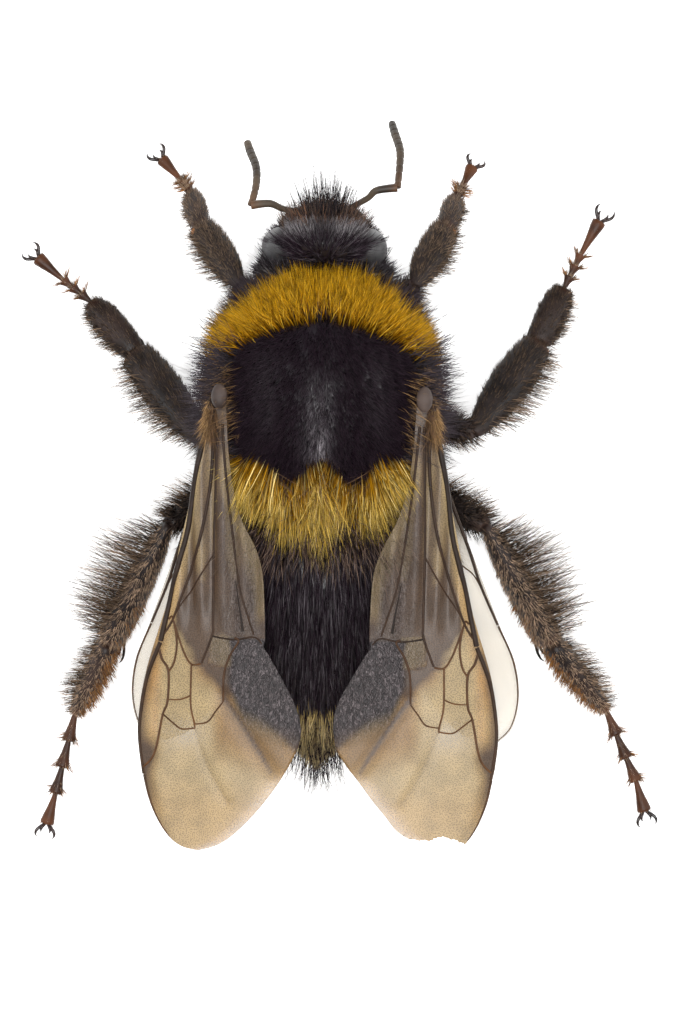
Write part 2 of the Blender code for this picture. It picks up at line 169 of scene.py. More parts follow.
def mix_colour(nodes, links, factor, one, two):
    """A colour between two, each a colour or a socket, by a factor that is a socket."""
    made = node(nodes, "ShaderNodeMix", data_type="RGBA")
    links.new(factor, made.inputs["Factor"])
    for end, value in ((6, one), (7, two)):
        if isinstance(value, bpy.types.NodeSocket):
            links.new(value, made.inputs[end])
        else:
            made.inputs[end].default_value = (*value, 1)
    return made.outputs[2]


def product(nodes, links, one, two):
    """Two colour sockets multiplied."""
    made = node(nodes, "ShaderNodeMix", data_type="RGBA", blend_type="MULTIPLY")
    made.inputs["Factor"].default_value = 1.0
    links.new(one, made.inputs[6])
    links.new(two, made.inputs[7])
    return made.outputs[2]


def ramp(nodes, links, factor, *stops):
    """A colour or grey ramp with stops of (place, colour)."""
    made = nodes.new("ShaderNodeValToRGB")
    made.color_ramp.interpolation = "EASE"
    elements = made.color_ramp.elements
    for element, (place, colour) in zip(elements, (stops[0], stops[-1])):
        element.position, element.color = place, (*colour, 1)
    for place, colour in stops[1:-1]:
        elements.new(place).color = (*colour, 1)
    links.new(factor, made.inputs["Fac"])
    return made.outputs["Color"]


pitted = bpy.data.node_groups.new("pitted_cuticle", "ShaderNodeTree")
for label, low in (("Pit Size", 0.09), ("Dark", 0.0), ("Light", 1.0)):
    pitted.interface.new_socket(label, in_out="INPUT", socket_type="NodeSocketFloat").default_value = low
for label in ("Height", "Cloud", "Roughness"):
    pitted.interface.new_socket(label, in_out="OUTPUT", socket_type="NodeSocketFloat")
inside = pitted.nodes.new("NodeGroupInput")
outside = pitted.nodes.new("NodeGroupOutput")
place = pitted.nodes.new("ShaderNodeTexCoord")
per_pit = node(pitted.nodes, "ShaderNodeMath", operation="DIVIDE")
per_pit.inputs[0].default_value = 1 / MM
pitted.links.new(inside.outputs["Pit Size"], per_pit.inputs[1])
pits = node(pitted.nodes, "ShaderNodeTexVoronoi", feature="F1")
grain = node(pitted.nodes, "ShaderNodeTexNoise", Scale=9000.0, Detail=4.0)
cloud = node(pitted.nodes, "ShaderNodeTexNoise", Scale=900.0, Detail=3.0)
for texture in (pits, grain, cloud):
    pitted.links.new(place.outputs["Object"], texture.inputs["Vector"])
pitted.links.new(per_pit.outputs[0], pits.inputs["Scale"])
dent = node(pitted.nodes, "ShaderNodeMapRange")
socket_value(dent, From_Min=0.0, From_Max=0.35)
pitted.links.new(pits.outputs["Distance"], dent.inputs["Value"])
height = node(pitted.nodes, "ShaderNodeMath", operation="MULTIPLY_ADD")
height.inputs[1].default_value = 0.35
pitted.links.new(grain.outputs["Fac"], height.inputs[0])
pitted.links.new(dent.outputs["Result"], height.inputs[2])
sheen = node(pitted.nodes, "ShaderNodeMapRange")
pitted.links.new(cloud.outputs["Fac"], sheen.inputs["Value"])
socket_value(sheen, From_Min=0.35, From_Max=0.65)
pitted.links.new(inside.outputs["Dark"], sheen.inputs["To Min"])
pitted.links.new(inside.outputs["Light"], sheen.inputs["To Max"])
pitted.links.new(height.outputs[0], outside.inputs["Height"])
pitted.links.new(cloud.outputs["Fac"], outside.inputs["Cloud"])
pitted.links.new(sheen.outputs["Result"], outside.inputs["Roughness"])


def add_pits(nodes, links, shader, pit_mm, depth_mm, roughness):
    """Places the pits on a finish: bump from their height, roughness between two values. Returns the
    cloud."""
    group = node(nodes, "ShaderNodeGroup", node_tree=pitted)
    group.inputs["Pit Size"].default_value = pit_mm
    group.inputs["Dark"].default_value, group.inputs["Light"].default_value = roughness
    bump = node(nodes, "ShaderNodeBump", Strength=1.0, Distance=depth_mm * MM)
    links.new(group.outputs["Height"], bump.inputs["Height"])
    links.new(bump.outputs["Normal"], shader.inputs["Normal"])
    links.new(group.outputs["Roughness"], shader.inputs["Roughness"])
    return group.outputs["Cloud"]


def mark(nodes, name):
    """The numbers that a mesh keeps at its points under that name."""
    return node(nodes, "ShaderNodeAttribute", attribute_name=name).outputs["Fac"]


def cuticle(name, dark, light, pit_mm=0.09, depth_mm=0.006, roughness=(0.28, 0.5), gloss=0.5):
    """Half-gloss cuticle, clouded between two browns."""
    made, nodes, links, shader = new_finish(name, Specular_IOR_Level=gloss)
    clouds = add_pits(nodes, links, shader, pit_mm=pit_mm, depth_mm=depth_mm, roughness=roughness)
    links.new(ramp(nodes, links, clouds, (0.3, dark), (0.7, light)), shader.inputs["Base Color"])
    return made


def two_tone_cuticle(name, label, edge_end, one, two, pit_mm, roughness):
    """Pitted cuticle that turns from one colour into another where the mesh's own numbers of that label
    pass from -0.2 to edge_end."""
    made, nodes, links, shader = new_finish(name, Specular_IOR_Level=0.5)
    add_pits(nodes, links, shader, pit_mm=pit_mm, depth_mm=0.006, roughness=roughness)
    edge = node(nodes, "ShaderNodeMapRange")
    socket_value(edge, From_Min=-0.2, From_Max=edge_end)
    links.new(mark(nodes, label), edge.inputs["Value"])
    shade = mix_colour(nodes, links, edge.outputs["Result"], one, two)
    links.new(shade, shader.inputs["Base Color"])
    return made


black_shell = cuticle("black_shell", (0.010, 0.007, 0.007), (0.035, 0.025, 0.022))

# ---- Fur ----
# Every hair is its own closed, three-sided strand, thickest at its root and tapering to a point. The
# marks it keeps are how far along it a point lies, a number of its own for its shade, and how far it is
# mixed towards its coat's second colour: a painted sheen on most coats, the hair's own tint on some.
FUR_GOLD, FUR_BLACK, FUR_BUFF = "yellow_fur", "black_fur", "buff_fur"
ROOT_DEPTH, FLOOR_GAP = 0.06, 0.04
TRIALS_PER_HAIR = 14
PATCH = 0.003


def fur_finish(name, root, middle, tip, shades, glint, roughness=0.45, gloss=0.25):
    """Fur coloured from a dark root to a paler tip. The dark root is partly the hair's own colour and partly
    painted shade deep in the coat. Each hair is a little lighter or darker than the next. Its own mark mixes
    it towards a second colour: on most coats a painted highlight where a lock would catch the light, on
    some the hair's own paler or rustier tint."""
    made, nodes, links, shader = new_finish(name, Roughness=roughness, Specular_IOR_Level=gloss)
    along = ramp(nodes, links, mark(nodes, "along"), (0.0, root), (0.5, middle), (1.0, tip))
    along = mix_colour(nodes, links, mark(nodes, "glint"), along, glint)
    tone = ramp(nodes, links, mark(nodes, "strand"), (0.0, (shades[0],) * 3), (1.0, (shades[1],) * 3))
    links.new(product(nodes, links, along, tone), shader.inputs["Base Color"])
    return made


gold_fur = fur_finish("golden_fur", (0.03, 0.010, 0.001), (0.27, 0.115, 0.0008), (0.56, 0.30, 0.008),
                      shades=(0.35, 1.6), glint=(0.80, 0.50, 0.05), roughness=0.5, gloss=0.1)
pale_fur = fur_finish("pale_golden_fur", (0.035, 0.012, 0.001), (0.29, 0.135, 0.001), (0.68, 0.47, 0.10),
                      shades=(0.35, 1.55), glint=(0.80, 0.62, 0.24), roughness=0.5, gloss=0.1)
black_fur = fur_finish("black_fur", (0.0026, 0.0010, 0.0024), (0.0080, 0.0030, 0.0068),
                       (0.022, 0.012, 0.018), shades=(0.5, 1.7), glint=(0.34, 0.31, 0.33), roughness=0.5,
                       gloss=0.08)
# Black fur whose second colour is a bright painted highlight, for the crown's silvery band and the cheeks.
bright_sheen_fur = fur_finish("black_fur_bright_painted_sheen", (0.0035, 0.0022, 0.003), (0.009, 0.006, 0.008),
                        (0.026, 0.020, 0.024), shades=(0.5, 1.6), glint=(0.42, 0.39, 0.40),
                        roughness=0.45, gloss=0.15)
brown_fur = fur_finish("brown_fur", (0.010, 0.006, 0.005), (0.042, 0.026, 0.020), (0.15, 0.100, 0.074),
                       shades=(0.35, 1.9), glint=(0.32, 0.13, 0.05))
rust_fur = fur_finish("rust_fur", (0.020, 0.010, 0.005), (0.09, 0.048, 0.024), (0.24, 0.14, 0.07),
                      shades=(0.4, 1.7), glint=(0.66, 0.40, 0.16))
buff_fur = fur_finish("buff_fur", (0.25, 0.170, 0.060), (0.58, 0.42, 0.160), (0.80, 0.64, 0.34),
                      shades=(0.5, 1.45), glint=(0.7, 0.58, 0.35))


def on_surface(surface, s, a, step=1e-3):
    """Point, outward normal and area on a surface(share, angle), by differences along both. The normals
    all turn together so that most of them look away from the middle of the points."""
    along = surface(s + step, a) - surface(s - step, a)
    round_it = surface(s, a + step) - surface(s, a - step)
    point, out = surface(s, a), np.cross(along, round_it)
    turned = np.sign(np.einsum("ij,ij->", unit(out), point - point.mean(0)))
    return point, unit(out) * turned, np.linalg.norm(out, axis=-1)


def scatter(surface, count, density, shares=(0.01, 0.99)):
    """Hair roots over a surface: many trial places, kept with a chance in step with the area that each
    stands for and with density(point, out, share, angle). Returns places, points and normals."""
    trials = count * TRIALS_PER_HAIR
    s, a = rng.uniform(*shares, trials), rng.uniform(0, TAU, trials)
    point, out, area = on_surface(surface, s, a)
    chance = area * density(point, out, s, a)
    count = min(count, np.count_nonzero(chance))
    kept = rng.choice(len(chance), count, replace=False, p=chance / chance.sum())
    return s[kept], a[kept], point[kept], out[kept]


def pointing(x, y, z, length):
    """Arrows of that length along (x, y, z), where a part can be one number for all of them."""
    return unit(np.stack(np.broadcast_arrays(x, y, z), -1)) * length


def lock_pull(root, pitch, seed):
    """Draws hair tips together into locks about pitch apart: the slope of six sine waves laid across one
    another in slanted directions, so that tips slide towards the crests."""
    source = np.random.default_rng(seed)
    waves = unit(source.normal(size=(6, 3)))
    phase = root @ waves.T * TAU / pitch + source.uniform(0, TAU, 6)
    return np.cos(phase) @ waves * pitch / TAU / math.sqrt(3)


def grow_fur(name, slot, finish, roots, lean, length, width, curl=0.0, locks=(0.5, 1.0), jitter=0.16,
             rings=3, glint=0.0):
    """Strands on roots (s, a, point, out). A strand starts along out + lean, made one unit long, and bends
    further along lean by curl. A point t of the way up it lies at root + length * (t * start + t * t *
    bend), drawn into locks by t * t * pull, and its half-width is width / 2 * (1 - 0.75 * t * t). Its root
    is buried ROOT_DEPTH deep and it stays FLOOR_GAP above the floor. Its OFBake patch lies at its root's
    place on the surface's own unwrap, share by angle."""
    s, a, root, out = roots
    count = len(root)
    length = length * rng.uniform(0.75, 1.12, count)
    start = unit(unit(out) + lean + rng.normal(0, jitter, (count, 3)))
    pull = lock_pull(root, locks[0], count) * locks[1]
    bend = curl * (lean - out * 0.6) + rng.normal(0, jitter * 0.6, (count, 3))
    t = np.linspace(0, 1, rings + 1)[:, None, None]
    middle = root - out * ROOT_DEPTH + t * length[:, None] * start + t * t * (length[:, None] * bend + pull)
    middle[..., 2] = np.maximum(middle[..., 2], FLOOR_GAP)
    across = unit(np.cross(start, rng.normal(size=(count, 3))))
    beside = np.cross(start, across)
    half = width / 2 * rng.uniform(0.7, 1.2, count)
    angle = np.arange(3) * TAU / 3
    rim = across[:, None] * np.cos(angle)[:, None] + beside[:, None] * np.sin(angle)[:, None]
    radius = half[:, None, None] * (1 - 0.75 * t[:rings, :, :, None] ** 2)
    tube = middle[:rings, :, None] + rim * radius
    points = np.concatenate((tube.transpose(1, 0, 2, 3).reshape(count, -1, 3), middle[rings][:, None]), 1)
    each = rings * 3 + 1
    one = np.arange(rings * 3).reshape(rings, 3)
    turned = np.roll(one, -1, axis=1)
    squares = np.stack((one[:-1], turned[:-1], turned[1:], one[1:]), -1).reshape(-1, 4)
    tips = np.stack((one[-1], turned[-1], np.full(3, each - 1)), -1)
    triangles = np.concatenate((tips, one[:1, ::-1]))
    first = np.arange(count)[:, None, None] * each
    up = np.append(np.repeat(np.arange(rings) / rings, 3), 1.0)
    side = np.append(np.tile((0.0, 0.5, 1.0), rings), 0.5)
    patch = np.stack((a / TAU, s), -1)[:, None] * (1 - PATCH) + np.stack((side, up), -1) * PATCH
    piece = add_piece(
        name, points.reshape(-1, 3), ((first + squares).reshape(-1, 4), (first + triangles).reshape(-1, 3)),
        slot, patch.reshape(-1, 2), "OFBake",
        along=np.tile(up, count), strand=np.repeat(rng.uniform(0, 1, count), each),
        glint=np.repeat(glint + np.zeros(count), each),
    )
    piece.data.materials.append(finish)
    return piece


# ---- Thorax ----
# The middle of the body: one domed shell that carries the wings and legs, with a fine seam down its
# back. A golden collar lies in front, a velvety black shield on top, a golden fringe over the scutellum.
# how deep the fur is all round and at the back, and the value that a point well within the shield gets
COAT, BACK_COAT = 0.75, 0.9
WELL_WITHIN = -9
SHIELD_RADIUS, SHIELD_LEAN, SHIELD_AXIS = 5.12, math.radians(16), (-0.3, 9.0)
COLLAR_FLOOR, COLLAR_FRONT, NECK = 4.0, -7.5, -5.9
thorax_low, thorax_high = box_mm("collar", "thorax", "scutellum")
thorax_half = (thorax_high - thorax_low) / 2 - COAT
thorax_middle_z = (thorax_high[2] + thorax_low[2]) / 2
thorax_front, thorax_back = thorax_low[1] + COAT, thorax_high[1] - BACK_COAT


def bell(value, middle, width):
    """1 where the value is at the middle, falling away to both sides like a bell of that width."""
    return np.exp(-(((value - middle) / width) ** 2))


def egg(share, front, back):
    """Half-breadth of an egg at a share of its length: share to the power front, times (1 - share) to the
    power back, over its greatest value."""
    share = np.clip(share, 1e-4, 1 - 1e-4)
    widest = front / (front + back)
    return (share / widest) ** front * ((1 - share) / (1 - widest)) ** back


def thorax_surface(s, a):
    """An egg lying along y, with a shallow seam down its back; the angle counts from the left side up."""
    swell = egg(s, 0.40, 0.38)
    x = thorax_half[0] * swell * np.cos(a)
    seam = 0.05 * bell(x, 0, 0.07) * (np.sin(a) > 0)
    z = thorax_middle_z + (thorax_half[2] * swell - seam) * np.sin(a)
    return np.stack((x, thorax_front + (thorax_back - thorax_front) * s, z), -1)


def beyond_shield(point):
    """How far in front of the black shield's edge a point lies: its distance from an axis that leans
    forward on its way down, less the shield's radius and a small notch on the middle line. Low on the
    sides the collar ends too."""
    x, y, z = point.T
    level = (y - SHIELD_AXIS[0]) * math.cos(SHIELD_LEAN) - (z - SHIELD_AXIS[1]) * math.sin(SHIELD_LEAN)
    notch = 0.17 * bell(x, 0, 0.6)
    beyond = np.where(level < 0, np.hypot(1.05 * x, level) - SHIELD_RADIUS - notch, WELL_WITHIN)
    return np.minimum.reduce((beyond, z - COLLAR_FLOOR, y - COLLAR_FRONT - 0.30 * np.abs(x) ** 1.6))


def behind_shield(point):
    """How far behind the black shield's back edge a point lies. The edge has two round lobes, one to each
    side of the middle line, and runs straight out to the wings from there."""
    x, y, z = point.T
    edge = -1.28 + 0.92 * bell(np.abs(x), 1.15, 0.72) + 0.12 * (8.6 - z)
    return np.where(z > 4.2, y - edge, WELL_WITHIN)


def golden(point):
    return np.maximum(beyond_shield(point), behind_shield(point))


points, faces = skin_of(thorax_surface, 90, 96)
thorax_skin = add_piece("thorax_skin", points, faces, FUR_BLACK, golden=golden(points))
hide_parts("collar", "thorax", "scutellum")
thorax_skin.data.materials.append(
    two_tone_cuticle("thorax_shell", "golden", 0.2, (0.010, 0.006, 0.010), (0.10, 0.04, 0.006),
                     pit_mm=0.08, roughness=(0.3, 0.45))
)

FRAY = 0.12


def thorax_roots(count, zone):
    """Roots for one zone, its edge frayed so that hairs of two colours mix along it."""
    return scatter(
        thorax_surface, count,
        lambda point, out, s, a: zone(point, out) * (np.abs(out[:, 1]) < 0.985),
        (0.015, 0.985),
    )


def frayed(distance):
    return distance + rng.normal(0, FRAY, len(distance)) > 0


# The collar: hairs that stand away from the middle of the thorax and lean a little forward. A few
# strands at random carry a painted highlight.
THORAX_HEART = np.array((0, -3.2, 6.0))
roots = thorax_roots(16500, lambda point, out: frayed(beyond_shield(point)))
radial = unit((roots[2] - THORAX_HEART) * (1, 1, 0.15))
lean = unit(radial + np.array((0, -0.3, 0.25))) * 0.75
sheen_and_tint_share = 0.8 * rng.random(len(lean)) ** 6
long = 0.98 * rng.uniform(0.85, 1.15, len(lean))
grow_fur("collar_fur", FUR_GOLD, gold_fur, roots, lean, long, width=0.037, curl=0.12, locks=(0.4, 2.5),
         jitter=0.17, rings=2, glint=sheen_and_tint_share)

# The scutellum's fringe: long hairs laid back and fanned out from the middle line. A few strands at
# random are paler, partly their own straw tips and partly a painted highlight.
roots = thorax_roots(
    8200, lambda point, out: frayed(behind_shield(point)) * np.interp(out[:, 2], (-0.1, 0.5), (0.15, 1))
    * np.interp(np.abs(point[:, 0]), (0.1, 0.7), (0.22, 1))
)
x = roots[2][:, 0]
fan = np.sign(x) * np.interp(np.abs(x), (0, 0.4, 0.9, 1.6, 2.3, 3.1), (-0.3, -0.5, -0.25, 0.2, 0.6, 1.2))
lift = np.interp(np.abs(x), (0, 2.0, 3.0), (-0.15, 0.0, 0.5))
lean = pointing(fan, 1.6, lift, 2.0)
long = np.interp(np.abs(x), (0, 1.5, 2.4, 3.2), (2.05, 1.85, 1.6, 1.35)) * rng.uniform(0.7, 1.12, len(x))
sheen_and_tint_share = rng.random(len(x)) ** 6
grow_fur("scutellum_fur", FUR_GOLD, pale_fur, roots, lean, long, width=0.046, curl=0.10, locks=(0.8, 3.6),
         jitter=0.15, rings=3, glint=sheen_and_tint_share)

# Rusty hairs close the gap that the fringe leaves on the middle line.
roots = thorax_roots(
    650, lambda point, out: (behind_shield(point) > 0.1) * bell(point[:, 0], 0, 0.5) * (point[:, 2] > 6)
)
lean = pointing(-1.2 * roots[2][:, 0], 1.2, 0.3, 1.4)
grow_fur("seam_fur", FUR_GOLD, rust_fur, roots, lean, 1.5, width=0.034, curl=0.1, locks=(0.6, 2.6),
         jitter=0.3, rings=3)

# The shield: short black velvet with a painted silvery sheen along the middle line, a painted highlight
# spot on the middle line towards the back, and a faint painted sheen to each side.
roots = thorax_roots(
    26000, lambda point, out: frayed(-golden(point)) * (point[:, 2] > 6.9) * (point[:, 1] > NECK - 0.5)
)
x, y = roots[2][:, 0], roots[2][:, 1]
lean = unit(roots[2] * (0.35, 0, 0) + np.array((0, 1.0, 0))) * 0.8
# Painted sheen: a silvery streak down the middle line and a faint one to each side, on random strands.
sheen_and_tint_share = 0.75 * bell(x, 0.1, 0.42) * np.interp(y, (-4.6, -3.4, -1.4, -0.6), (0, 0.6, 1, 0.2))
sheen_and_tint_share = sheen_and_tint_share + 0.12 * bell(np.abs(x), 1.9, 0.4) * np.interp(y, (-5.2, -4.2, -2.6, -1.6), (0, 1, 1, 0))
sheen_and_tint_share = sheen_and_tint_share * rng.random(len(x)) ** 2 + 0.04 * rng.random(len(x)) ** 2
# A painted highlight spot on the middle line towards the back of the shield.
spot = bell(x, -0.02, 0.12) * np.interp(y, (-2.4, -1.4, -1.0), (0, 1, 0))
sheen_and_tint_share = sheen_and_tint_share + 1.2 * spot * (rng.random(len(x)) < 0.6)
grow_fur("shield_fur", FUR_BLACK, black_fur, roots, lean, 0.5, width=0.03, curl=0.2, locks=(0.5, 0.8),
         jitter=0.2, rings=1, glint=sheen_and_tint_share)

# The flanks: longer black hair that stands out under and behind the wings, with a faint painted sheen
# on every hair.
roots = thorax_roots(
    15000, lambda point, out: frayed(-golden(point)) * np.interp(point[:, 2], (2.0, 6.6, 7.2), (0.7, 1, 0))
    * (point[:, 1] > NECK)
)
radial = unit((roots[2] - THORAX_HEART) * (1, 0.8, 0.4))
lean = unit(radial + np.array((0, -0.15, 0))) * 0.55
flank = roots[2][:, 0] > 0
for side, mine in (("left", flank), ("right", ~flank)):
    picked = tuple(part[mine] for part in roots)
    long = (1.05 + 0.85 * rng.random(mine.sum()) ** 3) * np.interp(picked[2][:, 1], (-7.2, -6.0), (0.85, 1))
    grow_fur(f"flank_fur_{side}", FUR_BLACK, black_fur, picked, lean[mine], long, width=0.03, curl=0.1,
             locks=(0.5, 1.2), jitter=0.25, rings=2, glint=0.1)

# The neck: black hair laid forward between the collar and the head, a few strands with a painted sheen.
roots = thorax_roots(
    5000, lambda point, out: frayed(-golden(point)) * (point[:, 1] <= NECK) * (point[:, 2] > 3.4)
    * np.interp(np.abs(point[:, 0]), (0.8, 1.9), (0.3, 1))
)
x = roots[2][:, 0]
lean = pointing(0.42 * x, -1, 0.15, 0.9)
long = np.interp(np.abs(x), (1.2, 2.4), (1.0, 1.3)) * rng.uniform(0.7, 1.1, len(x))
grow_fur("neck_fur", FUR_BLACK, black_fur, roots, lean, long, width=0.03, curl=0.1, locks=(0.5, 1.2),
         jitter=0.2, rings=2, glint=0.2 * rng.random(len(x)) ** 3)

# ---- Abdomen ----
# Six overlapping plates on the back and six beneath, each sliding under the one in front of it, so the
# hind edges stand proud. Black fur lies flat and straight back; the last two plates are buff.
SEGMENT_ENDS = (0.0, 0.19, 0.38, 0.55, 0.70, 0.84, 1.0)
SEGMENTS = [f"abdomen_segment_{number}" for number in range(1, 7)]
# how deep the fur is all round, at the waist and at the tip
ABDOMEN_COAT, WAIST_COAT, TIP_COAT = 0.55, 0.3, 1.0
abdomen_low, abdomen_high = box_mm(*SEGMENTS)
abdomen_front, abdomen_back = abdomen_low[1] + WAIST_COAT, abdomen_high[1] - TIP_COAT
second_low, second_high = box_mm("abdomen_segment_2")
abdomen_half = (second_high - second_low)[[0, 2]] / 2 - ABDOMEN_COAT
abdomen_middle_z = (second_high[2] + second_low[2]) / 2
ABDOMEN_DROOP = 0.9


def abdomen_surface(s, a):
    """An egg that droops towards its tip by the square of the share, its plates each flaring a little
    towards their hind edges and stepping in behind them."""
    swell = egg(s, 0.32, 0.85)
    plate = np.interp(s, SEGMENT_ENDS, range(len(SEGMENT_ENDS))) % 1
    step = 0.09 * plate**3 * (s < 0.9) - 0.05
    x = (abdomen_half[0] * swell + step) * np.cos(a)
    z = abdomen_middle_z - ABDOMEN_DROOP * s**2 + (abdomen_half[1] * swell + step) * np.sin(a)
    return np.stack((x, abdomen_front + (abdomen_back - abdomen_front) * s, z), -1)


TAIL_FROM = 8.1
points, faces = skin_of(abdomen_surface, 160, 72)
abdomen_skin = add_piece("abdomen_skin", points, faces, FUR_BLACK, buff=points[:, 1] - TAIL_FROM)
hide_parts(*SEGMENTS)
abdomen_skin.data.materials.append(
    two_tone_cuticle("abdomen_shell", "buff", 0.3, (0.012, 0.008, 0.010), (0.10, 0.07, 0.03), pit_mm=0.1,
                     roughness=(0.25, 0.4))
)


def abdomen_roots(count, zone):
    return scatter(abdomen_surface, count, lambda point, out, s, a: zone(point, out), (0.02, 0.985))


def backward(point, out, flatness, spread=0.03):
    """Straight back along the plates, a little outwards; the greater flatness is, the flatter fur lies."""
    back = np.stack((spread * point[:, 0], np.ones(len(point)), -0.04 * point[:, 1]), -1)
    return unit(back - out * np.einsum("ij,ij->i", back, out)[:, None]) * flatness


# Black fur over the plates, in two pieces, with painted glints on a few strands, more towards the
# middle line; buff fur on the last ones.
roots = abdomen_roots(27000, lambda point, out: frayed(TAIL_FROM - point[:, 1]))
lean = backward(roots[2], roots[3], 2.6)
sheen_and_tint_share = 0.45 * rng.random(len(lean)) ** 4 * np.interp(np.abs(roots[2][:, 0]), (0.5, 3.5), (1, 0.3))
front_half = roots[2][:, 1] < 3.6
for name, mine in (("abdomen_fur_front", front_half), ("abdomen_fur_back", ~front_half)):
    picked = tuple(part[mine] for part in roots)
    grow_fur(name, FUR_BLACK, black_fur, picked, lean[mine], 1.2, width=0.03, curl=0.05,
             locks=(0.45, 1.6), jitter=0.1, rings=2, glint=sheen_and_tint_share[mine])

roots = abdomen_roots(5600, lambda point, out: frayed(point[:, 1] - TAIL_FROM))
lean = backward(roots[2], roots[3], 2.0, 0.1)
grow_fur("tail_fur", FUR_BUFF, buff_fur, roots, lean, 1.05, width=0.036, curl=0.0, locks=(0.45, 1.2),
         jitter=0.14, rings=2)

# Long black hairs that lie over the tail, and brown hair on the front corners under the wings.
roots = abdomen_roots(420, lambda point, out: np.interp(point[:, 1], (7.9, 9.0), (0, 1)) * (out[:, 2] > 0))
lean = backward(roots[2], roots[3], 2.2, 0.25)
grow_fur("tail_fringe", FUR_BLACK, black_fur, roots, lean, 2.6, width=0.026, curl=0.0, locks=(0.5, 0.4),
         jitter=0.16)

roots = abdomen_roots(
    1300, lambda point, out: bell(np.abs(point[:, 0]), 1.8, 0.9) * (point[:, 1] < 2.3) * (point[:, 2] > 5)
)
lean = backward(roots[2], roots[3], 1.5)
grow_fur("waist_fur", FUR_GOLD, brown_fur, roots, lean, 1.8, width=0.036, curl=0.1, locks=(0.6, 1.6))

# ---- Head ----
# A long face, as this long-tongued kind has, that hangs straight down: a shell widest across the eyes,
# with a crest of dark hair between the feelers and a comb of black hair over the crown, swept forward.
HEAD_COAT, HEAD_Y = 0.2, -9.1
HEAD_BREADTH_HALF, HEAD_DEPTH_HALF = 2.25 - HEAD_COAT, 1.42 - HEAD_COAT
head_low, head_high = box_mm("head")


def head_surface(s, a):
    """An egg standing on end, from the crown at share 0 down to the chin, its brow flattened and its face
    narrowed. The angle counts from the left side round to the face."""
    swell = egg(s, 0.42, 0.30)
    facing = np.clip(np.sin(a), 0, 1)
    x = HEAD_BREADTH_HALF * swell * (1 - 0.42 * facing) * np.cos(a)
    flat = 1 - 0.34 * bell(s, 0, 0.42) * (facing > 0)
    y = HEAD_Y - HEAD_DEPTH_HALF * swell * flat * np.sin(a)
    return np.stack((x, y, head_high[2] - HEAD_COAT + (head_low[2] - head_high[2] + 2 * HEAD_COAT) * s), -1)


def blob_surface(middle, half, power=1.0):
    """An ellipsoid on its own end: shares run down it, angles round it; a power under one squares it."""
    def surface(s, a):
        ring = np.sin(math.pi * np.clip(s, 0, 1)) ** power
        return np.stack((
            middle[0] + half[0] * ring * np.cos(a),
            middle[1] - half[1] * ring * np.sin(a),
            middle[2] + half[2] * np.cos(math.pi * s),
        ), -1)
    return surface


# the cheeks swell out behind the eyes
CHEEK_AT, CHEEK_HALF = (1.6, -7.8, 4.7), (0.84, 0.62, 1.4)
cheeks = [blob_surface(np.array(CHEEK_AT) * (sign, 1, 1), CHEEK_HALF) for sign in SIDES.values()]
points, faces = joined([skin_of(head_surface, 70, 80), *(skin_of(cheek, 30, 32) for cheek in cheeks)])
head_skin = add_piece("head_skin", points, faces, "black_cuticle")
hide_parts("head")
head_skin.data.materials.append(black_shell)


# The clypeus is a bulging shield in the middle of the face, pitted at its edges and bare on its crown.
# Under it hangs the labrum, a short lip, and the jaws fold across in front of the tongue.
CLYPEUS_DEPTH, CLYPEUS_INSET = 0.56, 0.04
LABRUM_AT, LABRUM_HALF = (0, 0.24, -1.05), (0.62, 0.32, 0.3)


def node_middle(name):
    """The middle and the half-size of a CAD solid."""
    low, high = box_mm(name)
    return (low + high) / 2, (high - low) / 2


clypeus_low, clypeus_high = box_mm("clypeus")
clypeus_half = (clypeus_high - clypeus_low) / 2
clypeus_half[1] = CLYPEUS_DEPTH
clypeus_middle = (clypeus_high + clypeus_low) / 2
clypeus_middle[:2] = 0, clypeus_low[1] + CLYPEUS_DEPTH + CLYPEUS_INSET
points, faces = skin_of(blob_surface(clypeus_middle, clypeus_half * (0.97, 0.97, 1.0), 0.85), 44, 56)
clypeus_skin = add_piece("clypeus_skin", points, faces, "black_cuticle")
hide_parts("clypeus")
clypeus_skin.data.materials.append(
    cuticle("clypeus_shell", (0.008, 0.006, 0.006), (0.028, 0.02, 0.018), pit_mm=0.14, depth_mm=0.014,
            roughness=(0.16, 0.32))
)
points, faces = skin_of(blob_surface(clypeus_middle + LABRUM_AT, LABRUM_HALF, 0.7), 24, 40)
labrum = add_piece("labrum", points, faces, "black_cuticle")
labrum.data.materials.append(black_shell)


def node_corners(name):
    """The corners of a CAD solid, each once, in the bee's axes."""
    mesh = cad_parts[name].data
    corners = np.empty(len(mesh.vertices) * 3, np.float32)
    mesh.vertices.foreach_get("co", corners)
    return np.unique((corners.reshape(-1, 3) / MM - bee_origin).round(3), axis=0)


def ring_end(name, start, corners_in_ring=8):
    """The middle of a limb solid's last ring: the mean of its corners that lie farthest from start."""
    corners = node_corners(name)
    away = np.linalg.norm(corners - start, axis=1)
    return corners[np.argsort(away)[-corners_in_ring:]].mean(0)


def spine(name, start, shares, width=0.05):
    """The middle line of a bent limb solid: at each share of its reach from start, the mean of its
    corners, each weighed by how nearly it lies that far away."""
    corners = node_corners(name)
    away = np.linalg.norm(corners - start, axis=1)
    away = away / away.max()
    weights = [bell(away, share, width) + 1e-12 for share in shares]
    return np.array([weight @ corners / weight.sum() for weight in weights])


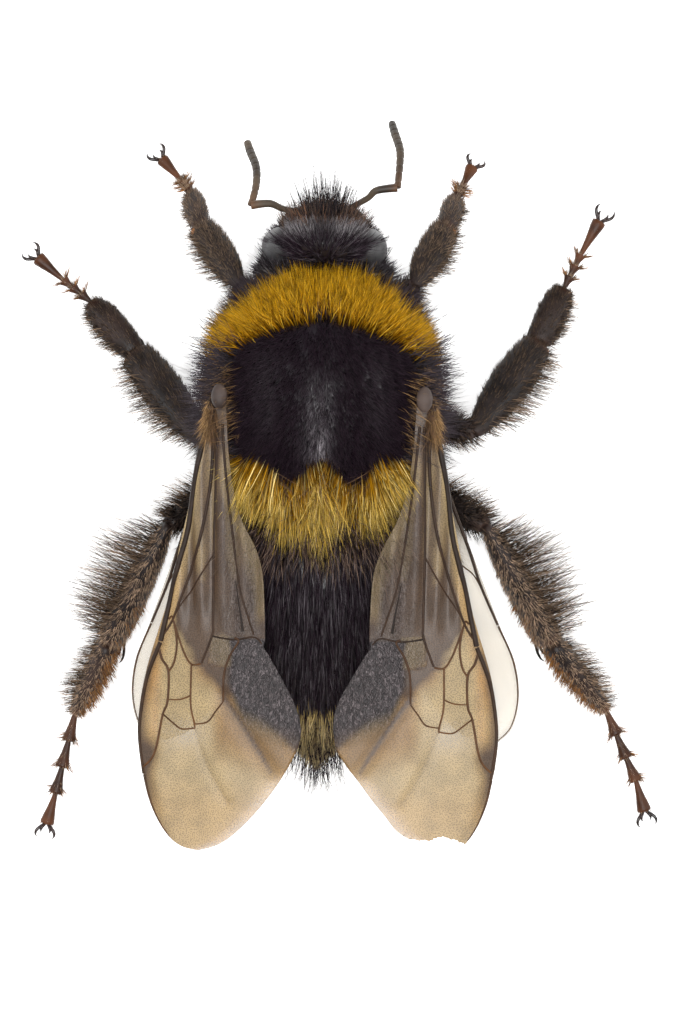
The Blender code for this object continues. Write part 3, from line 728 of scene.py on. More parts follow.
def smooth_line(points, steps=8):
    """A curve through the points by Catmull and Rom's rule, whole arrays of any width at once."""
    points = np.asarray(points, float)
    padded = np.concatenate((points[:1], points, points[-1:]))
    a, b, c, d = (padded[k:len(points) - 1 + k, None] for k in range(4))
    t = (np.arange(steps) / steps)[:, None]
    curve = (2 * b + (c - a) * t + (2 * a - 5 * b + 4 * c - d) * t**2 + (3 * b - a - 3 * c + d) * t**3) / 2
    return np.concatenate((curve.reshape(-1, points.shape[1]), points[-1:]))


def carried(stations, across, steps=8):
    """A surface carried along a path. Each station is (x, y, z, half breadth, half depth); the curve
    runs smoothly through them, and the section at each share is an ellipse whose breadth lies along
    across, made square to the path. The angle counts from across."""
    line = smooth_line(stations, steps)
    run = np.append(0, np.cumsum(np.linalg.norm(np.diff(line[:, :3], axis=0), axis=1)))
    run /= run[-1]
    across = np.asarray(across, float)

    def surface(s, a):
        s = np.clip(s, 0, 1)
        at, behind, ahead = (
            np.stack([np.interp(np.clip(s + nudge, 0, 1), run, column) for column in line.T], -1)
            for nudge in (0, -0.02, 0.02)
        )
        along = unit(ahead[..., :3] - behind[..., :3])
        wide = unit(across - along * (along @ across)[..., None])
        deep = np.cross(wide, along)
        return (at[..., :3] + wide * (at[..., 3] * np.cos(a))[..., None]
                + deep * (at[..., 4] * np.sin(a))[..., None])
    return surface


def stations(path, halves, flat=1.0):
    """Stations from a path and the half-breadth at each of its points."""
    halves = np.asarray(halves, float)
    return np.column_stack((path, halves, halves * flat))


jaw_shell = cuticle("jaw_shell", (0.018, 0.010, 0.008), (0.09, 0.035, 0.018), pit_mm=0.12, depth_mm=0.01,
                    roughness=(0.2, 0.38))
for side, sign in SIDES.items():
    root = np.array((1.15 * sign, -9.45, 2.3))
    path = spine(f"mandible_{side}", root, (0.25, 0.5, 0.75, 0.97))
    path = np.concatenate(([root], path))
    shape = carried(stations(path, (0.3, 0.42, 0.43, 0.34, 0.12), 0.62), (0, 0, 1))
    points, faces = skin_of(shape, 40, 24)
    jaw = add_piece(f"mandible_{side}_skin", points, faces, "brown_cuticle")
    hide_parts(f"mandible_{side}")
    jaw.data.materials.append(jaw_shell)

# The tongue is folded back under the head in its glossy brown sheath, with the two slim palps beside it.
tongue_root = np.array((0, -9.75, 1.6))
tongue_path = np.concatenate(([tongue_root], spine("proboscis", tongue_root, (0.3, 0.5, 0.7, 0.95))))
shapes = [skin_of(carried(stations(tongue_path, (0.2, 0.27, 0.25, 0.2, 0.08), 0.8), (1, 0, 0)), 50, 20)]
for sign in SIDES.values():
    beside = tongue_path + (0.2 * sign, 0, 0.04)
    shapes.append(skin_of(carried(stations(beside, (0.1, 0.13, 0.12, 0.1, 0.04)), (1, 0, 0)), 40, 12))
points, faces = joined(shapes)
tongue = add_piece("proboscis_sheath", points, faces, "brown_cuticle")
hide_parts("proboscis")
tongue.data.materials.append(
    cuticle("tongue_sheath", (0.04, 0.016, 0.008), (0.14, 0.055, 0.022), pit_mm=0.2, depth_mm=0.004,
            roughness=(0.18, 0.3))
)

# The eyes are long ovals down the sides of the head: a clear, hard lens skin over thousands of six-sided
# facets, dark grey. Three single eyes, glassy beads, sit in a row on the crown.
eye_finish, nodes, links, shader = new_finish("compound_eye", Roughness=0.48, Specular_IOR_Level=0.18,
                                              Coat_Weight=0.06, Coat_Roughness=0.4)
place = node(nodes, "ShaderNodeTexCoord")
facets = node(nodes, "ShaderNodeTexVoronoi", feature="F1", Scale=32000.0, Randomness=0.25)
links.new(place.outputs["Object"], facets.inputs["Vector"])
band = node(nodes, "ShaderNodeTexNoise", Scale=700.0, Detail=2.0)
links.new(place.outputs["Object"], band.inputs["Vector"])
shade = ramp(nodes, links, band.outputs["Fac"], (0.35, (0.045, 0.044, 0.046)), (0.65, (0.105, 0.104, 0.106)))
rim = ramp(nodes, links, facets.outputs["Distance"], (0.0, (1.25,) * 3), (0.7, (0.55,) * 3))
links.new(product(nodes, links, shade, rim), shader.inputs["Base Color"])
bump = node(nodes, "ShaderNodeBump", Strength=0.6, Distance=0.004 * MM)
bump.invert = True
links.new(facets.outputs["Distance"], bump.inputs["Height"])
links.new(bump.outputs["Normal"], shader.inputs["Normal"])

EYE_TILT, EYE_INSET = math.radians(3), 0.02
for side, sign in SIDES.items():
    middle, half = node_middle(f"eye_{side}")
    half = half * (0.95, 0.98, 0.98)
    tall = blob_surface((0, 0, 0), half, 0.85)

    def eye_surface(s, a):
        """A long ellipsoid leaning out at its top, pinched a little along its inner edge."""
        x, y, z = np.moveaxis(tall(s, a), -1, 0)
        x = x + sign * (math.tan(EYE_TILT) * z - 0.04 * np.cos(z / half[2] * 1.4))
        return np.stack((x, y, z), -1) + middle - (sign * EYE_INSET, 0, 0)

    points, faces = skin_of(eye_surface, 56, 48)
    eye = add_piece(f"eye_{side}_lens", points, faces, "eye")
    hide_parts(f"eye_{side}")
    eye.data.materials.append(eye_finish)

OCELLI = ((0.045, math.pi / 2), (0.03, math.pi / 2 - 1.0), (0.03, math.pi / 2 + 1.0))
shapes = [
    skin_of(blob_surface(head_surface(np.array(share), np.array(angle)), (0.15, 0.15, 0.13)), 14, 18)
    for share, angle in OCELLI
]
points, faces = joined(shapes)
ocelli = add_piece("ocelli", points, faces, "eye")
bead, nodes, links, shader = new_finish("ocellus_bead", Roughness=0.08, Specular_IOR_Level=0.7,
                                        Coat_Weight=0.5)
glow = node(nodes, "ShaderNodeTexNoise", Scale=1500.0)
links.new(ramp(nodes, links, glow.outputs["Fac"], (0.3, (0.02, 0.012, 0.01)), (0.7, (0.08, 0.05, 0.04))),
          shader.inputs["Base Color"])
ocelli.data.materials.append(bead)

# The feelers are elbowed: a bare, slightly bowed scape, then a short pedicel and ten ringed lengths that
# are dull with the finest down.
FEELER_ROOTS = {"left": np.array((0.62, -10.1, 4.7)), "right": np.array((-0.66, -10.15, 4.7))}
LENGTHS = (0, 0.07, 0.2, 0.29, 0.38, 0.47, 0.56, 0.65, 0.74, 0.83, 0.91, 1.0)
feeler_skin, nodes, links, shader = new_finish("feeler_skin", Specular_IOR_Level=0.4)
clouds = add_pits(nodes, links, shader, pit_mm=0.05, depth_mm=0.006, roughness=(0.45, 0.65))
dull = ramp(nodes, links, clouds, (0.3, (0.022, 0.015, 0.010)), (0.7, (0.082, 0.058, 0.036)))
warm = ramp(nodes, links, clouds, (0.3, (0.08, 0.03, 0.010)), (0.7, (0.20, 0.09, 0.035)))
links.new(mix_colour(nodes, links, mark(nodes, "rust"), dull, warm), shader.inputs["Base Color"])
for side, sign in SIDES.items():
    root = FEELER_ROOTS[side]
    elbow = ring_end(f"antenna_{side}_scape", root)
    path = np.concatenate(([root], spine(f"antenna_{side}_scape", root, (0.4, 0.7)), [elbow]))
    shape = carried(stations(path, (0.11, 0.115, 0.14, 0.165)), (0, 0, 1))
    points, faces = skin_of(shape, 44, 16)
    near_elbow = bell(np.linalg.norm(points - elbow, axis=1), 0, 0.25)
    scape = add_piece(f"antenna_{side}_scape_skin", points, faces, "black_cuticle", rust=near_elbow)
    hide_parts(f"antenna_{side}_scape")
    scape.data.materials.append(feeler_skin)
    rest = f"antenna_{side}_flagellum"
    path = np.concatenate(([elbow], spine(rest, elbow, (0.3, 0.55, 0.8)), [ring_end(rest, elbow, 6)]))
    shape = carried(stations(path, (0.13, 0.14, 0.155, 0.16, 0.14)), (0, 0, 1))

    def ringed(s, a):
        """The feeler's length with a fine waist at every ring between two lengths."""
        within = np.interp(s, LENGTHS, range(len(LENGTHS))) % 1
        waist = 1 - 0.16 * bell(np.minimum(within, 1 - within), 0, 0.1) * (s > 0.01) * (s < 0.99)
        middle = (shape(s, a) + shape(s, a + math.pi)) / 2
        return middle + (shape(s, a) - middle) * waist[..., None]

    points, faces = skin_of(ringed, 150, 16, crowd=False)
    near_elbow = bell(np.linalg.norm(points - elbow, axis=1), 0, 0.7)
    flagellum = add_piece(f"antenna_{side}_flagellum_skin", points, faces, "black_cuticle",
                          rust=0.45 * near_elbow)
    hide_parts(rest)
    flagellum.data.materials.append(feeler_skin)

# Crown: a band of black hair with a painted silvery highlight, strongest at its front, and behind it a
# comb of longer black hair with a few painted glints, both swept forward and fanned out over the eyes.
# Cheeks: short black hair with a few long spikes and a few painted glints. Brow: a dark brown crest
# between the feelers, with long straight spikes. The face is shortly haired.
def head_roots(count, zone):
    return scatter(head_surface, count, lambda point, out, s, a: zone(*point.T, out), (0.0004, 0.98))


roots = head_roots(2400, lambda x, y, z, out: (y > -9.5) * (y < -8.8) * (z > 5.2) * (np.abs(x) < 1.35))
x, y = roots[2].T[:2]
lean = pointing(0.35 * x, -1, 0, 1.8)
# Painted silvery highlight, strongest at the front of the band and to each side of the middle.
band = np.interp(y, (-9.3, -8.9), (1.2, 0.5))
band = band * np.interp(np.abs(x), (0, 0.3, 0.6, 1.2), (0.3, 0.6, 1.5, 1.0))
grow_fur("crown_fur", FUR_BLACK, bright_sheen_fur, roots, lean, 0.5, width=0.028, curl=0.1, locks=(0.35, 1.0),
         jitter=0.1, rings=2, glint=band * rng.random(len(x)) ** 1.5)

roots = head_roots(3600, lambda x, y, z, out: (y > -8.88) * (z > 4.2) * (np.abs(x) < 1.7))
x, y = roots[2].T[:2]
lean = pointing(0.6 * x, -1, 0, np.interp(y, (-8.8, -8.2), (1.5, 0.9))[:, None])
long = 0.8 * rng.uniform(0.7, 1.15, len(x))
grow_fur("comb_fur", FUR_BLACK, black_fur, roots, lean, long, width=0.032, curl=0.1, locks=(0.4, 1.0),
         jitter=0.16, rings=2, glint=0.22 * rng.random(len(x)) ** 3)

for (side, sign), cheek in zip(SIDES.items(), cheeks):
    roots = scatter(cheek, 1900, lambda point, out, s, a: (out[:, 2] > -0.3) * (point[:, 2] > 3.6))
    x = roots[2][:, 0]
    outer = np.interp(x * sign, (1.2, 2.4), (0.25, 1.1))
    lean = pointing(outer * sign, -0.9, 0.1, 1.3)
    long = rng.uniform(0.25, 0.45, len(x)) + 0.7 * rng.random(len(x)) ** 7
    grow_fur(f"cheek_{side}_fur", FUR_BLACK, bright_sheen_fur, roots, lean, long, width=0.027, curl=0.1,
             locks=(0.4, 1.0), jitter=0.16, rings=2, glint=0.25 * rng.random(len(x)) ** 3)

roots = head_roots(
    3400, lambda x, y, z, out: (y < -9.35) * (z > 4.3) * (np.abs(x) < 1.5)
    * (0.6 + 0.4 * (bell(x, 0, 0.4) + bell(np.abs(x), 1.15, 0.3)))
)
x = roots[2][:, 0]
lean = pointing(0.35 * x, -1, 0.3, 0.8)
long = rng.uniform(0.2, 0.55, len(x)) + 0.8 * rng.random(len(x)) ** 5
grow_fur("brow_fur", FUR_BLACK, brown_fur, roots, lean, long, width=0.025, curl=0.0, locks=(0.2, 2.0),
         jitter=0.3, rings=2, glint=0.6 * rng.random(len(x)) ** 5)

roots = head_roots(400, lambda x, y, z, out: (y < -9.5) * (z > 4.6) * bell(x, 0, 0.9))
x = roots[2][:, 0]
lean = pointing(0.42 * x, -1, 0.1, 2.4)
long = np.interp(np.abs(x), (0, 1.3), (2.5, 1.0)) * rng.uniform(0.35, 1.1, len(x))
grow_fur("brow_spikes", FUR_BLACK, bright_sheen_fur, roots, lean, long, width=0.022, curl=0.0, locks=(0.4, 0.8),
         jitter=0.12, rings=3)

roots = head_roots(3400, lambda x, y, z, out: (z < 4.9) * np.where(y < -9.3, 1.0, 0.5))
lean = np.array((0, -0.1, -1.0)) + roots[3] * (0.5, 0, 0)
grow_fur("face_fur", FUR_BLACK, black_fur, roots, lean, 0.5, width=0.028, curl=0.1, locks=(0.35, 1.0),
         jitter=0.18, rings=2)

# ---- Wings ----
# Four blades of clear smoky-amber membrane, here two hundredths of a millimetre thick, stiffened by
# brown veins. At rest they fold back over the abdomen. The front pair lies on top; its base is pleated, and
# its inner lobe is rumpled. The tip of the right one is worn away.
# where each pair is hinged, how far each wing is turned out, and how much wider than its outline it is
# drawn; the outlines and veins are (u towards the tip, v outwards) from the hinge
HINGES = {"forewing": (3.85, -3.05, 7.25), "hindwing": (3.69, -2.18, 7.25)}
SPLAYS = {
    "forewing": {"left": math.radians(1.9), "right": math.radians(1.9)},
    "hindwing": {"left": math.radians(14.9), "right": math.radians(17.2)},
}
WING_SPREAD = 1.03
LEADING = {
    "forewing": ((0, 0.3), (3.0, 0.72), (7.1, 1.38), (10.2, 2.18), (12.2, 2.4), (14.0, 2.1), (15.2, 1.70),
                 (16.1, 1.12), (16.52, 0.55), (16.65, -0.1)),
    "forewing_right": ((0, 0.3), (3.0, 0.72), (7.1, 1.38), (10.2, 2.18), (12.2, 2.4), (13.4, 2.29),
                       (14.1, 2.13), (14.8, 1.96), (15.5, 1.68), (16.0, 1.39), (16.33, 1.12)),
    "hindwing": ((0, 0.25), (4.5, 0.5), (7.9, 0.76), (9.4, 0.92), (10.7, 0.7), (11.7, 0.15), (12.1, -0.6)),
}
TRAILING = {
    "forewing": ((0, -0.35), (2.4, -0.6), (3.9, -0.96), (5.4, -1.7), (6.5, -2.05), (8.6, -2.2),
                 (8.95, -2.15), (9.5, -2.5), (11.2, -3.42), (12.4, -3.58), (13.7, -3.05), (14.9, -2.3),
                 (15.9, -1.45), (16.4, -0.8), (16.65, -0.1)),
    "forewing_right": ((0, -0.35), (2.4, -0.6), (3.9, -0.96), (5.4, -1.7), (6.5, -2.05), (8.6, -2.2),
                       (8.95, -2.15), (9.5, -2.5), (11.2, -3.42), (12.5, -3.48), (13.3, -3.1),
                       (13.85, -2.71), (14.65, -2.17), (15.2, -1.75), (15.65, -1.43), (15.95, -1.09),
                       (16.33, -0.4)),
    "hindwing": ((0, -0.3), (1.5, -1.0), (3.5, -1.9), (5.8, -2.35), (7.5, -2.75), (9.5, -2.5), (11.3, -1.7),
                 (12.1, -0.6)),
}
WORN = ((-9, 16.33), (-1.1, 16.0), (-0.7, 16.08), (-0.4, 16.09), (0.0, 16.15), (0.2, 16.1), (0.36, 16.0),
        (0.56, 16.07), (0.84, 16.2), (1.12, 16.33), (9, 16.33))
VEINS = {
    # (half-width at the start, half-width at the end, amber at the start, amber at the end, points)
    "forewing": (
        (0.11, 0.10, 0.0, 0.1, ((0.1, 0.2), (2.98, 0.66), (5.03, 0.89), (7.11, 1.32), (9.03, 1.66))),
        (0.085, 0.05, 0.1, 0.3, ((9.03, 1.66), (10.35, 2.12), (11.67, 2.32), (12.62, 2.33), (13.98, 2.1))),
        (0.05, 0.02, 0.3, 0.8, ((13.98, 2.12), (15.0, 1.74), (15.75, 1.30), (16.2, 0.92))),
        (0.075, 0.04, 0.0, 0.3, ((0.6, 0.05), (2.96, 0.1), (5, 0.33), (6.62, 0.75), (8.06, 1.19),
                                 (8.81, 1.6))),
        (0.05, 0.04, 0.3, 0.9, ((9.23, 1.72), (9.66, 1.58), (10.11, 1.32), (11.22, 1.31), (11.73, 1.47),
                                 (12.93, 1.66), (13.4, 1.84), (13.72, 2.14))),
        (0.04, 0.04, 0.5, 0.8, ((8.18, 1.4), (8.11, 1.24), (9.01, 1.05), (9.77, 1.13), (10.11, 1.32))),
        (0.04, 0.035, 0.5, 0.7, ((8.11, 1.24), (8.9, 0.96), (9.43, 0.73), (9.78, 0.47), (9.74, 0.11))),
        (0.035, 0.035, 0.6, 1.0, ((9.78, 0.47), (10.89, 0.45), (11.39, 0.41), (11.99, 0.26), (12.18, 0.27))),
        (0.03, 0.03, 0.8, 1.0, ((11.15, 1.31), (11.11, 0.83), (10.94, 0.45))),
        (0.03, 0.03, 0.4, 1.0, ((11.69, 1.47), (11.97, 1.1), (12.19, 0.74), (12.14, 0.28))),
        (0.03, 0.03, 0.9, 0.4, ((11.99, 0.26), (11.87, -0.22), (11.46, -0.51), (11.1, -0.75))),
        (0.04, 0.04, 0.5, 0.3, ((11.1, -0.75), (10.03, -0.76), (9.37, -0.94), (8.82, -1.23), (8.7, -1.07))),
        (0.06, 0.04, 0.1, 0.2, ((0.8, -0.1), (3.4, -0.12), (5.7, -0.15), (8.08, -0.25), (8.64, -0.25),
                                (9.74, 0.11))),
        (0.035, 0.03, 0.0, 0.2, ((8.69, -0.26), (8.77, -1.07), (8.63, -1.78), (8.86, -2.1))),
        (0.055, 0.035, 0.1, 0.2, ((0.8, -0.25), (3.95, -0.65), (6.6, -1.15), (8.58, -1.78))),
        (0.03, 0.035, 0.2, 0.2, ((8.11, 1.24), (7.52, 0.9), (6.66, 0.37), (5.91, -0.01), (5.65, -0.15))),
        (0.015, 0.05, 0.0, 0.0, ((6.6, -1.0), (7.3, -1.16), (7.9, -1.29), (8.45, -1.38))),
    ),
    "hindwing": (
        (0.07, 0.045, 0.0, 0.2, ((0.1, 0.1), (4.5, 0.44), (6.2, 0.5), (7.9, 0.7))),
        (0.04, 0.015, 0.3, 0.6, ((7.9, 0.7), (9.3, 0.87), (10.6, 0.68), (11.6, 0.15), (12.0, -0.5))),
        (0.035, 0.03, 0.2, 0.5, ((0.5, 0.0), (3.0, 0.0), (5.3, 0.0), (6.9, -0.25), (8.6, -0.7))),
        (0.025, 0.025, 0.5, 0.5, ((5.3, 0.0), (5.8, 0.35), (6.4, 0.5))),
        (0.025, 0.02, 0.4, 0.6, ((6.9, -0.25), (7.1, -0.9), (6.6, -1.4))),
        (0.03, 0.02, 0.2, 0.6, ((0.5, -0.2), (3.2, -0.8), (6.6, -1.4), (8.2, -1.9))),
    ),
}
FOLDS = (
    ((10.91, -0.75), (11.65, -1.33), (12.94, -2.19), (13.6, -2.6)),
    ((12.01, 0.25), (13.42, -0.28), (14.8, -1.1)),
)


def edge_of(points):
    """A wing's edge as v for any u, run smoothly through its points."""
    line = smooth_line(points, 12)
    return lambda u: np.interp(u, np.maximum.accumulate(line[:, 0]), line[:, 1])


def near_line(u, v, points, width):
    """1 on a line through the points, falling away like a bell over width."""
    line = smooth_line(points, 6)
    away = np.full(np.shape(u), 9.0)
    for (u0, v0), (u1, v1) in zip(line, line[1:]):
        run = max((u1 - u0) ** 2 + (v1 - v0) ** 2, 1e-9)
        t = np.clip(((u - u0) * (u1 - u0) + (v - v0) * (v1 - v0)) / run, 0, 1)
        away = np.minimum(away, np.hypot(u - u0 - t * (u1 - u0), v - v0 - t * (v1 - v0)))
    return bell(away, 0, width)


def soft_step(value, low, high):
    """0 up to low and 1 from high on, by 3 t squared - 2 t cubed between them."""
    t = np.clip((value - low) / (high - low), 0, 1)
    return t * t * (3 - 2 * t)


def stretch(value, start, full, fade, end):
    """Rises from 0 at start to 1 at full, stays, and falls from 1 at fade to 0 at end."""
    return soft_step(value, start, full) * soft_step(-value, -end, -fade)


def wing_height(kind, u, v):
    """How far the membrane rises from its own plane: long pleats that die out towards the middle of the
    wing, a gentle camber, and a valley along each fold."""
    if kind == "hindwing":
        return -0.03 * v**2 * soft_step(u, 1, 6)
    pleats = 0.10 * np.cos(TAU * (v + 0.2 + 0.05 * u) / 0.8) * stretch(u, 0.5, 2.5, 7.0, 9.0)
    camber = 0.10 - 0.035 * (v + 0.4) ** 2 * soft_step(u, 7, 12)
    valleys = 0.08 * near_line(u, v, FOLDS[0], 0.3) + 0.05 * near_line(u, v, FOLDS[1], 0.2)
    return pleats + camber - valleys


def wing_place(kind, side):
    """The function that lays wing measures (u towards the tip, v outwards, h up) into the bee's axes. Up
    is the way in which the flat CAD blade's corners spread least."""
    corners = node_corners(f"{kind}_{side}")
    up = np.linalg.svd(corners - corners.mean(0), full_matrices=False)[2][2]
    up = up * np.sign(up[2])
    level = ((corners @ up).max() + (corners @ up).min()) / 2
    back = unit(np.cross(up, (1, 0, 0)))
    back = back * np.sign(back[1])
    out = SIDES[side] * np.cross(back, up)
    turn = SPLAYS[kind][side]
    back, out = back * math.cos(turn) + out * math.sin(turn), out * math.cos(turn) - back * math.sin(turn)
    hinge = np.array(HINGES[kind]) * (SIDES[side], 1, 1)
    hinge = hinge + up * (level - hinge @ up)
    return lambda u, v, h: (hinge + np.multiply.outer(u, back) + np.multiply.outer(v * WING_SPREAD, out)
                            + np.multiply.outer(h, up))


def membrane_finish(name, clear, smoky, silver, amber, opacity):
    """Membrane set with fine dots. Smoke darkens it, silver greys it and rumples it, amber warms it, and
    all three make it less clear; pale thins it out. Where silver lies, the rumples also carry painted
    highlights on their crests and painted shade in their hollows."""
    made, nodes, links, shader = new_finish(name, Roughness=0.36, Specular_IOR_Level=0.35)
    chart = node(nodes, "ShaderNodeTexCoord").outputs["UV"]
    dots = node(nodes, "ShaderNodeTexVoronoi", feature="F1", voronoi_dimensions="2D", Scale=330.0)
    ripple = node(nodes, "ShaderNodeTexNoise", noise_dimensions="2D", Scale=230.0, Detail=2.0,
                  Distortion=1.6)
    cloud = node(nodes, "ShaderNodeTexNoise", noise_dimensions="2D", Scale=22.0, Detail=4.0)
    drawn_out = node(nodes, "ShaderNodeMapping")
    drawn_out.inputs["Scale"].default_value = (0.4, 1.0, 1.0)
    links.new(chart, drawn_out.inputs["Vector"])
    for texture, place in ((dots, chart), (ripple, drawn_out.outputs["Vector"]), (cloud, chart)):
        links.new(place, texture.inputs["Vector"])
    tone = mix_colour(nodes, links, mark(nodes, "amber"), clear, amber)
    tone = mix_colour(nodes, links, mark(nodes, "smoke"), tone, smoky)
    # Painted light on the rumples: lighter on their crests, darker in their hollows.
    rumple_painted_light = ramp(nodes, links, ripple.outputs["Fac"], (0.40, tuple(0.45 * part for part in silver)),
                  (0.54, silver), (0.68, tuple(2.2 * part for part in silver)))
    tone = mix_colour(nodes, links, mark(nodes, "silver"), tone, rumple_painted_light)
    for scale in (
        ramp(nodes, links, dots.outputs["Distance"], (0.10, (0.50,) * 3), (0.44, (1.16,) * 3)),
        ramp(nodes, links, cloud.outputs["Fac"], (0.3, (0.88,) * 3), (0.7, (1.10,) * 3)),
    ):
        tone = product(nodes, links, tone, scale)
    links.new(tone, shader.inputs["Base Color"])
    thickness = None
    for label, gain in (("smoke", 0.34), ("silver", 0.24), ("amber", 0.08), ("pale", -0.3)):
        step = node(nodes, "ShaderNodeMath", operation="MULTIPLY_ADD", use_clamp=True)
        links.new(mark(nodes, label), step.inputs[0])
        step.inputs[1].default_value, step.inputs[2].default_value = gain, opacity
        if thickness:
            links.new(thickness, step.inputs[2])
        thickness = step.outputs[0]
    links.new(thickness, shader.inputs["Alpha"])
    crumple = node(nodes, "ShaderNodeMath", operation="MULTIPLY")
    links.new(ripple.outputs["Fac"], crumple.inputs[0])
    weight = node(nodes, "ShaderNodeMath", operation="MULTIPLY_ADD")
    links.new(mark(nodes, "silver"), weight.inputs[0])
    weight.inputs[1].default_value, weight.inputs[2].default_value = 1.0, 0.1
    links.new(weight.outputs[0], crumple.inputs[1])
    bump = node(nodes, "ShaderNodeBump", Strength=1.0, Distance=0.08 * MM)
    links.new(crumple.outputs[0], bump.inputs["Height"])
    links.new(bump.outputs["Normal"], shader.inputs["Normal"])
    return made


fore_membrane = membrane_finish("forewing_membrane", clear=(0.340, 0.246, 0.118),
                                smoky=(0.058, 0.033, 0.018), silver=(0.050, 0.041, 0.042),
                                amber=(0.36, 0.195, 0.058), opacity=0.77)
hind_membrane = membrane_finish("hindwing_membrane", clear=(0.42, 0.34, 0.21), smoky=(0.10, 0.07, 0.045),
                                silver=(0.15, 0.14, 0.13), amber=(0.40, 0.23, 0.06), opacity=0.32)
vein_finish, nodes, links, shader = new_finish("wing_vein", Roughness=0.5, Specular_IOR_Level=0.2)
grain = node(nodes, "ShaderNodeTexNoise", Scale=3000.0)
links.new(node(nodes, "ShaderNodeTexCoord").outputs["Object"], grain.inputs["Vector"])
warm = mix_colour(nodes, links, mark(nodes, "amber"), (0.013, 0.0075, 0.005), (0.11, 0.046, 0.015))
speck = ramp(nodes, links, grain.outputs["Fac"], (0.3, (0.75,) * 3), (0.7, (1.2,) * 3))
links.new(product(nodes, links, warm, speck), shader.inputs["Base Color"])
MEMBRANE = 0.02
WING_ROWS, WING_COLUMNS = 200, 52
HALO, TIP_GAP, EDGE_VEIN_FROM = 0.11, 0.004, 13.9


def forewing_marks(u, v, from_front, from_back, halo):
    """Smoke, silver, amber and pale on a front wing. The front edge is smoky. The inner half is streaked
    along its pleats with painted shade and ends in a dark disc, a smear, and a patch behind them that is
    rumpled.
    More painted shade darkens a valley and a groove between the pleats and a line along each fold. Beyond
    them lies a brown cloud, and behind the first fold a silvery lobe. Cream and gold are clearer places
    near the tip, and so are the hems at the back."""
    border = bell(from_front, 0.1, 0.3) * stretch(u, 8.6, 9.6, 14.0, 16.2)
    border = border + bell(u, 13.1, 0.6) * bell(v, 1.85, 0.3)
    # Painted shade in stripes along the pleats.
    painted_pleat_shade = 0.5 + 0.5 * np.cos(TAU * (v + 0.12 * u - 0.1) / 0.62)
    inner = soft_step(-u - 0.9 * v, -9.9, -9.1) * soft_step(0.12 * u + 0.25 - v, 0.0, 0.2)
    inner = inner * (0.54 + 0.35 * painted_pleat_shade + 0.4 * soft_step(u, 5.5, 7.5))
    base = soft_step(-u, -2.8, -1.0)
    disc = soft_step(1 - np.hypot((u - 8.3) / 1.75, (v - 0.32) / 0.62), 0.0, 0.3)
    spot = bell(u, 9.95, 0.5) * bell(v, -0.08, 0.42)
    patch = soft_step(u, 8.6, 8.68) * soft_step(-u - 0.15 * v, -9.75, -9.6)
    patch = patch * stretch(v, -1.15, -1.05, -0.24, -0.16)
    smear = bell(v + 0.8 * (u - 9.9), -0.35, 0.5) * stretch(u, 9.2, 9.8, 10.2, 11.2) * (1 - patch)
    fold = -0.78 - 0.42 * np.clip(u - 10.4, 0, 9) + 0.3 * np.clip(9.2 - u, 0, 1)
    lobe = soft_step(fold - v, 0.0, 0.3) * soft_step(-u + 0.35 * (-v - 2.2), -12.6, -11.4)
    brown = soft_step(-v, 0.2, 0.9) * soft_step(u, 9.5, 10.2)
    brown = brown * soft_step(13.7 + 0.45 * np.clip(-v - 1.0, 0, 2) - u, 0.0, 1.6)
    # Painted shade down a valley and a groove between the pleats.
    painted_valley_shade = bell(v + 0.03 * (u - 6), -0.36, 0.17) * stretch(u, 3.2, 4.4, 8.2, 8.6)
    painted_groove_shade = bell(v, -1.25, 0.2) * stretch(u, 6.4, 7.0, 8.1, 8.5)
    strip = soft_step(-v - 0.10 * u, -0.35, 0.1) * stretch(u, 2.5, 5.0, 8.5, 8.8)
    # Painted shade along each fold.
    painted_fold_shade = (0.15 * near_line(u, v, FOLDS[0], 0.3) + 0.5 * near_line(u, v, FOLDS[0], 0.06)
               + 0.12 * near_line(u, v, FOLDS[1], 0.2) + 0.22 * near_line(u, v, FOLDS[1], 0.06))
    cream = bell(u, 12.35, 0.65) * bell(v, 0.6, 0.75)
    gold = bell(v, 1.78, 0.22) * stretch(u, 9.7, 10.3, 12.3, 12.9)
    tip_hem = bell(from_back, 0, 0.5) * soft_step(u, 13.0, 14.4)
    back_hem = soft_step(0.5 - from_back, 0.0, 0.3) * stretch(u, 1.5, 3.0, 7.4, 8.6)
    pale = tip_hem + 0.75 * cream + 0.4 * gold

    smoke = 0.12 * halo + 0.8 * border + inner + 0.4 * base + 0.5 * painted_valley_shade + 0.58 * disc + 0.75 * smear
    smoke = smoke + 0.65 * painted_groove_shade + 0.5 * spot + 0.6 * brown * (1 - 0.5 * lobe) + painted_fold_shade
    smoke = ((smoke - 0.3 * tip_hem - 0.25 * cream) * (1 - 0.6 * patch) - 0.3 * gold) * (1 - 0.6 * back_hem)
    strip = 0.5 * strip * (1 - 0.6 * painted_pleat_shade)
    silver = np.maximum.reduce((lobe * soft_step(u, 8.6, 8.75), 0.35 * back_hem, strip, 0.55 * patch))
    amber = 0.5 * soft_step(v - 0.28 * (u - 6.4), 0.45, 0.9) * stretch(u, 4.0, 8.0, 11.2, 12.0) + 0.4 * pale
    amber = amber + 0.4 * border + 0.5 * spot + 0.6 * smear + 0.25 * soft_step(u, 13.6, 15.2) + 0.4 * base
    amber = amber + 0.75 * brown * (1 - lobe) - 0.5 * cream + 0.4 * gold
    return smoke, silver, amber, pale + 0.35 * back_hem


